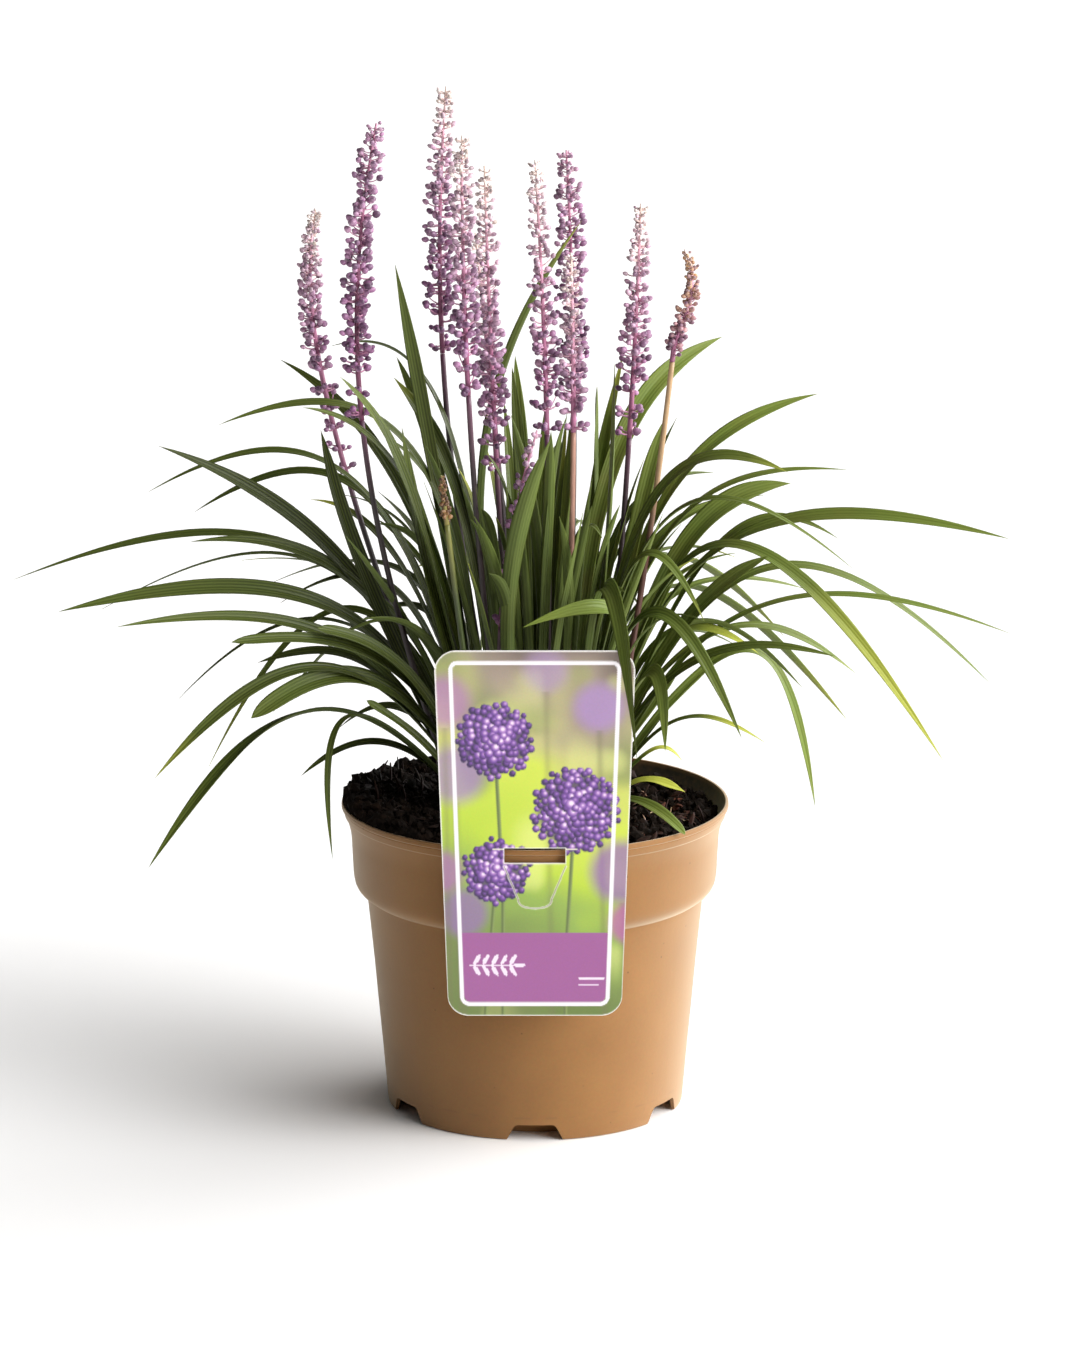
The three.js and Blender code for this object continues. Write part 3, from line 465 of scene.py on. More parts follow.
# A closed body: the rings of the top, from the axis out to the wall, then down the wall and under. Where it
# is heaped, it reaches a little further and rolls over towards the rim.
def peatMesh(s):
    angle = np.arange(s["columns"]) * fullTurn / s["columns"]
    share = np.linspace(0, 1, s["rings"] + 1)[1:, None]
    edgeLevel = s["middle"] + s["dish"] - s["tilt"] * np.cos(angle)
    heaped = softStep(*s["heaped"], edgeLevel + s["heapWander"] * lumps(angle * 24, angle * 0, 3.0, 5))
    top = polar((wallAt(edgeLevel) + s["heapOver"] * heaped) * share, angle, 0)
    rim = softStep(s["rollFrom"], 1.0, share)
    z = peatHeight(top[..., 0], top[..., 1]) - rim * (s["roll"] + s["heapRoll"] * heaped)
    isHeap = heaped > 0.05
    z = np.where((rim > 0) & ~isHeap, np.minimum(z, 119.5), z)
    top[..., 2] = z
    lowRings = []
    for radius, level in [(wallAt(s["rimTop"]), s["rimTop"])] + s["under"]:
        over = np.where(isHeap | (level < 115), level, z[-1] - 1.0)
        reach = np.minimum(radius, wallAt(over)) if level > 100 else radius
        lowRings.append(polar(reach, angle, np.minimum(over, z[-1] - 0.1)))
    rows = np.concatenate([top, lowRings])[::-1]
    poles = [[0, 0, s["under"][-1][1]], [0, 0, peatHeight(np.zeros(1), np.zeros(1))[0]]]
    return np.concatenate([rows.reshape(-1, 3), poles]), tubeFaces(len(rows), s["columns"])


# corners of a twenty-sided body of radius 1: the golden ratio and the length of (0, 1, ratio)
golden, size = 1.618, 1.902
icosahedron = np.array([
    [0, 1, golden], [0, -1, golden], [0, 1, -golden], [0, -1, -golden], [1, golden, 0], [-1, golden, 0],
    [1, -golden, 0], [-1, -golden, 0], [golden, 0, 1], [-golden, 0, 1], [golden, 0, -1], [-golden, 0, -1],
]) / size
icosahedronFaces = np.array([
    [0, 1, 8], [0, 8, 4], [0, 4, 5], [0, 5, 9], [0, 9, 1], [3, 2, 10], [3, 10, 6], [3, 6, 7], [3, 7, 11],
    [3, 11, 2], [1, 6, 8], [8, 6, 10], [8, 10, 4], [4, 10, 2], [4, 2, 5], [5, 2, 11], [5, 11, 9], [9, 11, 7],
    [9, 7, 1], [1, 7, 6],
])


# Random rotations: unit quaternions turned into matrices.
def turns(count, rng):
    w, x, y, z = unit(rng.normal(size=(count, 4))).T
    return np.stack([1 - 2 * (y * y + z * z), 2 * (x * y - z * w), 2 * (x * z + y * w),
                     2 * (x * y + z * w), 1 - 2 * (x * x + z * z), 2 * (y * z - x * w),
                     2 * (x * z - y * w), 2 * (y * z + x * w), 1 - 2 * (x * x + y * y)], -1).reshape(-1, 3, 3)


# Places over the peat, spread evenly, with the radius from the root of a random number. They stay a little
# off the wall, and more so where the peat is low.
def scattered(count, margin, rng):
    angle = rng.uniform(0, fullTurn, count)
    reach = peatShape["scatterReach"] - margin - 1.8 * (np.cos(angle) > -0.3)
    r = np.sqrt(rng.uniform(0, 1, count)) * reach
    return r * np.cos(angle), r * np.sin(angle)


# Lumps: a twenty-sided body with its corners pushed in and out at random, stretched and turned.
def lumpMesh(x, y, lift, radii, turned, rng):
    count = len(x)
    corners = icosahedron * rng.uniform(0.62, 1.25, (count, len(icosahedron), 1)) * radii[:, None]
    corners = np.einsum("nij,nkj->nki", turned, corners)
    centre = np.stack([x, y, peatHeight(x, y) + lift], -1)
    return (corners + centre[:, None]).reshape(-1, 3), repeated(icosahedronFaces, count, len(icosahedron))


# Tubes through three points each: a parabola carrying a small triangle that narrows to its ends.
def threadMesh(starts, middles, ends, radius, steps=7):
    t = np.linspace(0, 1, steps)[:, None]
    line = parabola(starts[:, None], middles[:, None], ends[:, None], t)
    way = unit(np.gradient(line, axis=1))
    side = unit(np.cross(way, [0.13, 0.21, 0.97]))
    up = np.cross(way, side)
    thick = radius[:, None, None] * (0.25 + 0.75 * np.sin(np.pi * np.clip(t, 0.08, 0.92)))
    turn = (np.arange(3) * fullTurn / 3)[:, None]
    spoke = side[:, :, None] * np.cos(turn) + up[:, :, None] * np.sin(turn)
    points = line[:, :, None] + thick[..., None] * spoke
    perThread = steps * 3
    caps = [np.array([[2, 1, 0]]), np.array([[0, 1, 2]]) + perThread - 3]
    faces = [repeated(part, len(starts), perThread) for part in [gridFaces(steps, 3)] + caps]
    return points.reshape(-1, 3), faces, perThread


# Points pulled in so that none is further from the axis than the reach.
def pulledIn(points, reach):
    far = np.hypot(points[:, 0], points[:, 1])
    return points * np.stack([np.minimum(1, reach / far)] * 2 + [np.ones(len(points))], 1)


# Peat is dark plant fibre, dull and moist: nearly black, with brown and a few pale grains.
peatFibre, tree, shader, placed = startMaterial("peat_moist_milled", 0.9, ior=1.4, gloss=0.2)
clods = addNode(tree, "TexNoise", {"Scale": 1 / (7 * mm), "Detail": 6.0, "Roughness": 0.7}, placed)
tone = addNode(tree, "ValToRGB", links={"Fac": (clods, 0)},
               stops=[(0.3, "#0A0603"), (0.55, "#180F08"), (0.7, "#291A10"), (0.82, "#432E1F")])
grit = addNode(tree, "TexVoronoi", {"Scale": 1 / (1.6 * mm)}, placed)
pale = addNode(tree, "MapRange", {"From Min": 0.08, "From Max": 0.16, "To Min": 0.4, "To Max": 0.0},
               {"Value": (grit, "Distance")})
few = addNode(tree, "MapRange", {"From Min": 0.56, "From Max": 0.6}, {"Value": (clods, 0)})
grain = addNode(tree, "Math", links={0: (pale, "Result"), 1: (few, "Result")}, operation="MULTIPLY")
gritty = addNode(tree, "Mix", {mixB: linear("#8A6E58")}, {0: (grain, 0), mixA: (tone, "Color")}, **plainMix)
crumbly = addNode(tree, "TexNoise", {"Scale": 1 / (0.9 * mm), "Detail": 4.0}, placed)
bump = addNode(tree, "Bump", {"Strength": 0.8, "Distance": 0.5 * mm}, {"Height": (crumbly, 0)})
linkTo(shader, {"Base Color": (gritty, mixed), "Normal": (bump, "Normal")})

# Bark and root bits: composted wood, dull, red-brown to black, some threads pale tan.
barkWood, tree, shader, placed = startMaterial("bark_composted", 0.7, ior=1.45, gloss=0.3)
kind = addNode(tree, "Attribute", attribute_name="tone")
tone = addNode(tree, "ValToRGB", links={"Fac": (kind, "Fac")},
               stops=[(0.0, "#120A06"), (0.45, "#361B10"), (0.7, "#5A2D1C"), (0.85, "#7E5038"),
                      (1.0, "#CBAA90")])
streak = addNode(tree, "TexNoise", {"Scale": 1 / (1.5 * mm), "Detail": 5.0}, placed)
streaked = addNode(tree, "Mix", {0: 0.7}, {mixA: (tone, "Color"), mixB: (streak, 1)}, **overlay)
bump = addNode(tree, "Bump", {"Strength": 0.6, "Distance": 0.3 * mm}, {"Height": (streak, 0)})
linkTo(shader, {"Base Color": (streaked, mixed), "Normal": (bump, "Normal")})

points, faces = peatMesh(peatShape)
peat = makePiece("peat", points, [faces], [peatFibre])
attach(peat, "root")
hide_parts("soil")

rng = np.random.default_rng(peatShape["seed"])
x, y = scattered(peatShape["crumbs"], 1.0, rng)
size = blend(*peatShape["crumbSize"], rng.uniform(0, 1, len(x)) ** 3.2)
radii = size[:, None] * rng.uniform(0.65, 1.3, (len(x), 3))
points, faces = lumpMesh(x, y, 0.25 * size, radii, turns(len(x), rng), rng)
crumbs = makePiece("peat_crumbs", points, [[faces]], [peatFibre], smooth=False)
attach(crumbs, "root")

# chips lie nearly flat, most of them at the right, where the peat is lower
x, y = scattered(peatShape["chips"], 6.0, rng)
x = np.where(rng.uniform(0, 1, len(x)) < 0.6, np.abs(x), x)
spin = rng.uniform(0, fullTurn, len(x))
lean = rng.normal(0, 0.28, len(x))
zero, one = np.zeros(len(x)), np.ones(len(x))
flat = np.stack([np.cos(spin), -np.sin(spin), zero, np.sin(spin), np.cos(spin), zero, zero, zero, one], -1)
tipped = np.stack([np.cos(lean), zero, np.sin(lean), zero, one, zero, -np.sin(lean), zero, np.cos(lean)], -1)
turned = flat.reshape(-1, 3, 3) @ tipped.reshape(-1, 3, 3)
radii = np.stack([rng.uniform(*span, len(x)) for span in peatShape["chipSizes"]], -1)
points, faces = lumpMesh(x, y, 0.9, radii, turned, rng)
# painted shade: chips on the left, the side away from the light, keep only a third of their tone
chipToneAndShade = rng.uniform(0.1, 0.68, len(x)) * np.where(x > 10, 1, 0.3)
chipToneAndShade = np.repeat(chipToneAndShade, len(icosahedron))
chips = makePiece("bark_chips", points, [[faces]], [barkWood], {"tone": chipToneAndShade}, smooth=False)
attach(chips, "root")

# fibres lie in low arches, and a few of them are long pale threads at the right
x, y = scattered(peatShape["fibres"], 9.0, rng)
spin = rng.uniform(0, fullTurn, len(x))
reach = rng.uniform(3, 11, len(x))
isThread = np.arange(len(x)) < peatShape["threads"]
x, y = np.where(isThread, 30 + 0.4 * np.abs(x), x), np.where(isThread, 0.6 * y, y)
middles = np.stack([x, y, peatHeight(x, y) + rng.uniform(0.8, 3.0, len(x)) + 1.5 * isThread], -1)
way = polar(reach, spin, 0)
starts = middles - way * 0.9
starts[:, 2] = peatHeight(starts[:, 0], starts[:, 1]) + 0.2
ends = middles + way + rng.normal(0, 1.5, (len(x), 3))
ends[:, 2] = peatHeight(ends[:, 0], ends[:, 1]) + 0.3
starts, ends = pulledIn(starts, peatShape["fibreReach"]), pulledIn(ends, peatShape["fibreReach"])
thick = rng.uniform(0.12, 0.42, len(x))
# painted shade: fibres on the left, the side away from the light, are darker
tone = np.where(isThread, 0.97, rng.uniform(0, 0.8, len(x)) * np.where(x > 10, 1, 0.25))

# dark twigs stand up out of the heap at the left and beside the wall at the right
count = peatShape["twigs"]
atLeft = rng.uniform(0.5, 1.08, count) * math.pi
angle = np.where(np.arange(count) % 4 > 0, atLeft, rng.normal(0.35, 0.5, count))
foot = polar(rng.uniform(36, 68, count), angle, 0)
foot[:, 2] = peatHeight(foot[:, 0], foot[:, 1]) - 1.0
lean = np.stack([rng.normal(0, 3.4, count), rng.normal(0, 3.4, count), rng.uniform(4.5, 9.5, count)], -1)
head = pulledIn(foot + lean, peatShape["twigReach"])
knee = 0.5 * (foot + head) + rng.normal(0, 0.8, (count, 3))
thick = np.concatenate([thick, rng.uniform(0.35, 0.8, count)])
lines = [np.concatenate(pair) for pair in ((starts, foot), (middles, knee), (ends, head))]
points, faces, perThread = threadMesh(*lines, thick)
tone = np.repeat(np.concatenate([tone, rng.uniform(0, 0.3, count)]), perThread)
fibres = makePiece("root_fibres", points, [faces], [barkWood], {"tone": tone})
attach(fibres, "root")
print("peat:", len(peat.data.polygons), "faces,", peatShape["crumbs"], "crumbs")


# ---- label

labelShape = {
    "topWidth": 75.0, "bottomWidth": 66.0, "top": 197.6, "bottom": 55.6, "thickness": 0.8, "corner": 8.0,
    "backAt": -75.3, "slotWidth": 23.0, "slotHeight": 5.8, "slotTop": 121.2,
    "tongueStart": 1.2, "tongueDrop": 17.6, "tongueTop": 11.6, "tongueLow": 6.3, "tongueRound": 3.5,
    "cut": 0.24, "grid": 0.45, "backGrid": 5.0, "frameSide": 5.0, "frameEnd": 3.9, "frameLine": 1.45,
    "bandTop": 88.3, "sprigAt": (-24.6, 75.5), "rulesAt": 70.2,
}
# out-of-focus flower heads in the print: middle (x, z), radius, blur, tint and strength
blurredHeads = [
    (-30, 150, 11, 8, "#9A74B0", 0.75), (24, 176, 9, 7, "#A886BC", 0.8), (33, 112, 12, 7, "#8C5AA0", 0.8),
    (-27, 96, 9, 6, "#8E62A4", 0.7), (4, 190, 8, 7, "#A88CB4", 0.6), (-12, 66, 14, 9, "#6C7A44", 0.7),
    (-34, 178, 10, 8, "#A86CAA", 0.7), (36, 92, 8, 5, "#B0509C", 0.75), (-35, 112, 8, 6, "#A460A4", 0.7),
]
# sharp ones: middle (x, z), radius, number of florets, and where the stem's foot stands
sharpHeads = [(-15, 163, 14.5, 118, -12), (15, 136, 16.5, 150, 11.5), (-14.5, 112, 12.5, 88, -19)]


# Half the card's width at a height: it tapers evenly to the bottom.
def cardHalf(z):
    s = labelShape
    return 0.5 * blend(s["bottomWidth"], s["topWidth"], (z - s["bottom"]) / (s["top"] - s["bottom"]))


# Signed distance to a rounded box whose sides lean with the card: inset from its sides and its ends.
def cardDistance(x, z, side, end, corner):
    s = labelShape
    a = np.abs(x) - (cardHalf(z) - side - corner)
    b = np.abs(z - 0.5 * (s["top"] + s["bottom"])) - (0.5 * (s["top"] - s["bottom"]) - end - corner)
    return np.hypot(np.maximum(a, 0), np.maximum(b, 0)) + np.minimum(np.maximum(a, b), 0) - corner


# How far outside the slot a point is, in the larger of the two directions.
def slotDistance(x, z):
    s = labelShape
    middle, half = s["slotTop"] - s["slotHeight"] / 2, s["slotHeight"] / 2
    return np.maximum(np.abs(x) - s["slotWidth"] / 2, np.abs(z - middle) - half)


# True at the heights of the tongue's cut.
def byTongue(z):
    return np.abs(z - labelShape["slotTop"] + 15) < 12


# Adds points to a loop so that none of its sides is longer than the step.
def stepped(loop, step):
    loop = np.asarray(loop, float)
    pieces = []
    for here, there in zip(loop, np.roll(loop, -1, 0)):
        count = max(1, int(np.ceil(np.linalg.norm(there - here) / step)))
        pieces.append(blend(here, there, np.arange(count)[:, None] / count))
    return np.concatenate(pieces)


# The card's outline: quarter circles at its four corners.
def cardOutline():
    s = labelShape
    r = s["corner"]
    low, high = s["bottomWidth"] / 2 - r, s["topWidth"] / 2 - r
    bottom, top = s["bottom"] + r, s["top"] - r
    loop = []
    for cx, cz, quarter in [(low, bottom, -0.5), (high, top, 0), (-high, top, 0.5), (-low, bottom, 1)]:
        turn = np.pi * (quarter + np.linspace(0, 0.5, 25))
        loop.append(np.stack([cx + r * np.cos(turn), cz + r * np.sin(turn)], 1))
    return np.concatenate(loop)


# The middle line of the tongue's cut: down one side, a round end of two parabolas, and up the other side.
def tongueLine():
    s = labelShape
    slotBottom = s["slotTop"] - s["slotHeight"]
    start, low = slotBottom - s["tongueStart"], slotBottom - s["tongueDrop"]
    t = np.linspace(0, 1, 13)[:, None]
    a, b, c = np.array([[-s["tongueLow"], low + s["tongueRound"]], [-s["tongueLow"], low], [0.0, low]])
    left = np.concatenate([[[-s["tongueTop"], start]], parabola(a, b, c, t)])
    return np.concatenate([left, left[-2::-1] * [-1, 1]])


# Even-odd test: true where a ray to the right crosses the loop an odd number of times.
def insideLoop(points, loop):
    odd = np.zeros(len(points), bool)
    for (ax, az), (bx, bz) in zip(loop, np.roll(loop, -1, 0)):
        crosses = (az > points[:, 1]) != (bz > points[:, 1])
        at = ax + (points[:, 1] - az) * (bx - ax) / (bz - az if bz != az else 1)
        odd ^= crosses & (points[:, 0] < at)
    return odd


# Triangles between loops and the grid points inside them: a constrained Delaunay net.
def fillLoops(loops, spacing, margin):
    s = labelShape
    x, z = np.meshgrid(np.arange(-38, 38, spacing), np.arange(s["bottom"], s["top"], spacing))
    x = x + 0.5 * spacing * (np.arange(len(x)) % 2)[:, None]
    grid = np.stack([x.ravel(), z.ravel()], 1)
    keep = (cardDistance(*grid.T, 0, 0, s["corner"]) < -margin) & (slotDistance(*grid.T) > margin)
    near = byTongue(grid[:, 1])
    line = stepped(loops[2], 0.25)
    close = np.linalg.norm(grid[near][:, None] - line[None], axis=-1).min(1) < margin
    keep[np.flatnonzero(near)[close | insideLoop(grid[near], loops[2])]] = False
    points = np.concatenate(loops + [grid[keep]])
    edges, first = [], 0
    for loop in loops:
        edges += [(first + k, first + (k + 1) % len(loop)) for k in range(len(loop))]
        first += len(loop)
    made = delaunay_2d_cdt([tuple(p) for p in points.tolist()], edges, [], 0, 1e-5)
    points, triangles, groups = np.array([tuple(p) for p in made[0]]), np.array(made[2]), made[3]
    # where each given point went
    own = np.empty(first + int(keep.sum()), int)
    merged = np.repeat(np.arange(len(points)), [len(group) for group in groups])
    own[np.concatenate(groups).astype(int)] = merged
    middles = points[triangles].mean(1)
    kept = insideLoop(middles, loops[0]) & ~insideLoop(middles, loops[1]) & ~insideLoop(middles, loops[2])
    # flat slivers along an edge are left out
    side, other = (points[triangles[:, k]] - points[triangles[:, 0]] for k in (1, 2))
    kept &= np.abs(side[:, 0] * other[:, 1] - side[:, 1] * other[:, 0]) > 1e-4
    return points, triangles[kept], own


# Paints a colour over another where a share says so.
def paint(base, hexColour, share):
    return base + (np.array(linear(hexColour)[:3]) - base) * share[:, None]


# The card's print: an out-of-focus lime and olive garden, round flower heads on stems, a white frame line
# and a plain purple panel with a small sprig.
def printColours(x, z):
    s = labelShape
    v = (z - s["bottom"]) / (s["top"] - s["bottom"])
    soft = lumps(x + 100, z, 24, 41)
    drift = v + 0.10 * soft + 0.05 * lumps(x, z, 9, 42) + 0.0022 * x
    colour = ramp(drift, [(0.05, "#6E8040"), (0.3, "#8CA848"), (0.45, "#B4CC38"), (0.62, "#C8D64A"),
                          (0.78, "#BDB878"), (0.9, "#9C8C7C"), (1.02, "#76675E")])
    colour = paint(colour, "#5C7432", 0.55 * softStep(0.1, 0.8, lumps(x + 40, z, 19, 43)))
    colour = paint(colour, "#E2E68C", 0.5 * softStep(0.35, 0.95, lumps(x, z + 70, 15, 44)))
    # blurred flower heads in the background
    for cx, cz, r, blur, tint, share in blurredHeads:
        d = np.hypot(x - cx, z - cz) / r
        colour = paint(colour, tint, share * (1 - softStep(1 - 0.5 * blur / r, 1 + 0.5 * blur / r, d)))
        stem = np.exp(-((x - cx - 0.02 * (cz - z)) / 1.3) ** 2) * (z < cz - r)
        colour = paint(colour, "#6E6A4A", 0.5 * share * stem)
    # sharp flower heads, each a dark ball with round florets on it, drawn from its edge to its middle
    rng = np.random.default_rng(19)
    for cx, cz, r, count, foot in sharpHeads:
        lean = cx + (foot - cx) * np.clip((cz - z) / 60, 0, 1)
        stem = (1 - softStep(0.5, 0.9, np.abs(x - lean))) * (z < cz - 0.6 * r)
        colour = paint(colour, "#5E6E3A", stem)
        colour = paint(colour, "#98AA62", 0.6 * stem * softStep(-0.1, 0.5, x - lean))
        colour = paint(colour, "#46305C", 0.9 * (1 - softStep(0.72, 0.98, np.hypot(x - cx, z - cz) / r)))
        k = np.arange(count)[::-1] + 0.5
        outward = np.sqrt(k / count)
        jitter, tints = rng.normal(0, 0.34, (2, count)), rng.uniform(-0.25, 0.25, count)
        sizes = 2.05 * (1 - 0.22 * outward) * rng.uniform(0.78, 1.12, count)
        fx, fz = np.array([[cx], [cz]]) + polar(r * outward, k * goldenAngle, 0).T[:2] + jitter
        for px, pz, edge, size, tint in zip(fx, fz, outward, sizes, tints):
            d = np.hypot(x - px, z - pz) / size
            near = d < 1
            light = 0.8 * np.hypot(x[near] - px - 0.5, z[near] - pz - 0.5) / size + 0.3 * edge - 0.08 + tint
            shades = ramp(light, [(0, "#F0DDEC"), (0.2, "#B98CCB"), (0.5, "#774A9E"), (1.0, "#36224F")])
            colour[near] = blend(colour[near], shades, (1 - softStep(0.78, 1.0, d[near]))[:, None])
    # the purple panel
    inner = cardDistance(x, z, s["frameSide"] + s["frameLine"], s["frameEnd"] + s["frameLine"], 2.5)
    panel = (1 - softStep(-0.1, 0.1, inner)) * (1 - softStep(-0.15, 0.15, z - s["bandTop"]))
    colour = paint(colour, "#98568F", panel)
    # on it a sprig, which is paired leaves along a short stem and one at its end, and two short rules
    right, up = x - s["sprigAt"][0], z - s["sprigAt"][1]
    sprig = (np.abs(up) < 0.24) & (right > 0) & (right < 17.5)
    for k in range(5):
        for way in (-1, 1):
            a, b = right - 3.4 * k - 1.5, up * way
            p, q = 0.5 * a + 0.866 * b, -0.866 * a + 0.5 * b
            sprig |= (((p - 2.5) / 2.3) ** 2 + (q / 0.8) ** 2) < 1
    sprig |= (((right - 18.8) / 2.4) ** 2 + (up / 0.8) ** 2) < 1
    for k in range(2):
        sprig |= (np.abs(z - s["rulesAt"] + 2.4 * k) < 0.26) & (x > 16.6) & (x < 26.2 - 2.0 * k)
    colour = paint(colour, "#EBD9EA", panel * sprig)
    # the frame line
    line = cardDistance(x, z, s["frameSide"], s["frameEnd"], 3.5)
    frameLine = (1 - softStep(-0.15, 0.15, line)) * softStep(-0.15, 0.15, line + s["frameLine"])
    colour = paint(colour, "#F4EEF2", frameLine)
    # bare white plastic shows beside the cuts and along the card's edge
    path = stepped(np.concatenate([tongueLine(), tongueLine()[::-1]]), 0.3)
    near = byTongue(z) & (np.abs(x) < 13.5)
    d = np.full(len(x), 9.0)
    d[near] = np.linalg.norm(np.stack([x[near], z[near]], 1)[:, None] - path[None], axis=-1).min(1)
    colour = paint(colour, "#EDE9DC", 0.7 * (1 - softStep(0.2, 0.5, d)))
    slits = (np.abs(z - s["slotTop"] + 0.3) < 0.3) & (np.abs(np.abs(x) - 13.6) < 2.2)
    colour = paint(colour, "#E8E6C8", 0.9 * slits)
    colour = paint(colour, "#EFEBE0", 0.8 * (1 - softStep(0.2, 0.5, slotDistance(x, z))))
    return paint(colour, "#F2EFEA", softStep(-0.5, -0.15, cardDistance(x, z, 0, 0, s["corner"])))


# The card: two nets, a fine one for the print and a coarse one for the back, joined by walls along the loops.
def labelMesh():
    s = labelShape
    half, slotTop, slotBottom = s["slotWidth"] / 2, s["slotTop"], s["slotTop"] - s["slotHeight"]
    slot = [[-half, slotBottom], [half, slotBottom], [half, slotTop], [-half, slotTop]]
    line = tongueLine()
    sideways = np.gradient(line, axis=0)
    sideways = unit(np.stack([-sideways[:, 1], sideways[:, 0]], 1)) * s["cut"] / 2
    tongue = np.concatenate([line - sideways, (line + sideways)[::-1]])
    loops = [stepped(cardOutline(), 0.6), stepped(slot, 0.6), stepped(tongue, 0.8)]
    front, frontFaces, frontOwn = fillLoops(loops, s["grid"], 0.25)
    back, backFaces, backOwn = fillLoops(loops, s["backGrid"], 1.0)
    backOwn = backOwn + len(front)
    points = [np.insert(front, 1, s["backAt"] - s["thickness"], 1), np.insert(back, 1, s["backAt"], 1)]
    walls, first = [], 0
    for number, loop in enumerate(loops):
        here = first + np.arange(len(loop))
        there = first + (np.arange(len(loop)) + 1) % len(loop)
        wall = np.stack([frontOwn[there], frontOwn[here], backOwn[here], backOwn[there]], 1)
        area = np.sum(loop[:, 0] * np.roll(loop[:, 1], -1) - np.roll(loop[:, 0], -1) * loop[:, 1])
        walls.append(wall if (area > 0) == (number == 0) else wall[:, ::-1])
        first += len(loop)
    colours = np.concatenate([printColours(*front.T), np.tile(linear("#E9E4E6")[:3], (len(back), 1))])
    bare = [backFaces[:, ::-1] + len(front)] + walls
    return np.concatenate(points), [[frontFaces], bare], colours


# White polystyrene card, offset-printed and varnished: bright print under a thin gloss.
cardPrint, tree, shader, placed = startMaterial("polystyrene_card_printed", 0.38, coat=0.25,
                                                coatRoughness=0.22)
inks = addNode(tree, "Attribute", attribute_name="print")
dots = addNode(tree, "TexNoise", {"Scale": 1 / (0.7 * mm), "Detail": 2.0}, placed)
inked = addNode(tree, "Mix", {0: 0.10}, {mixA: (inks, "Color"), mixB: (dots, 1)}, **overlay)
wave = addNode(tree, "TexNoise", {"Scale": 1 / (30 * mm), "Detail": 1.0}, placed)
bump = addNode(tree, "Bump", {"Strength": 0.15, "Distance": 1.0 * mm}, {"Height": (wave, 0)})
linkTo(shader, {"Base Color": (inked, mixed), "Normal": (bump, "Normal")})

# The same card where it is bare: white, satin, with a few grey rub marks.
cardCore, tree, shader, placed = startMaterial("polystyrene_card_bare", 0.5)
rub = addNode(tree, "TexNoise", {"Scale": 1 / (9 * mm), "Detail": 4.0}, placed)
tone = addNode(tree, "ValToRGB", links={"Fac": (rub, 0)}, stops=[(0.35, "#DEDAD8"), (0.6, "#EFECE9")])
linkTo(shader, {"Base Color": (tone, "Color")})

points, faceLists, colours = labelMesh()
label = makePiece("plant_label", points, faceLists, [cardPrint, cardCore], colours={"print": colours},
                  smooth=False)
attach(label, "root")
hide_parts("label")
print("label:", len(label.data.polygons), "faces")


# ---- leaves

leafShape = {
    "crownRing": 22.0, "crownSides": 20, "crownFolds": 0.07,
    "crownOutline": [(5.04, 102), (5.6, 110), (5.6, 116), (5.2, 118), (4.2, 121), (2.6, 123)],
    "root": 117.0, "rootSpread": 3.2, "foot": 0.45, "full": 0.76, "narrows": 0.72, "folded": 0.86,
    "keel": 0.2, "uneven": 0.05, "ripple": 0.12, "thinTip": 0.7, "lastStep": 0.994, "stepEase": 1.15,
    "thickness": 0.55, "steps": 44, "tipPower": 2.1, "bluntPower": 9.0,
    "wave": 0.5, "twist": 8.0, "rollEase": 1.6, "lowerTurn": 42.0, "seed": 23,
}
# narrow leaves between the others: how many a tuft and fewer on the right, how far the front ones, behind the
# label, go towards the lowest, and the ranges of their places from the most upright to the lowest
fillers = {
    "count": 8, "fewer": 3, "frontLow": 0.45, "sway": 40, "tipReach": (24, 96), "tipHeight": (268, 178),
    "middleReach": (12, 46), "middleHeight": (200, 186), "width": (2.5, 5.5), "roll": 50,
}
# leaves placed by a rule, from the most upright one to the one that arches furthest
ruled = {
    "tipReach": (52, 157), "tipHeight": (282, 132), "middleReach": (34, 69), "middleHeight": (214, 192),
    "width": (4.5, 8.5), "spread": 22, "sway": 11, "roll": 30,
}

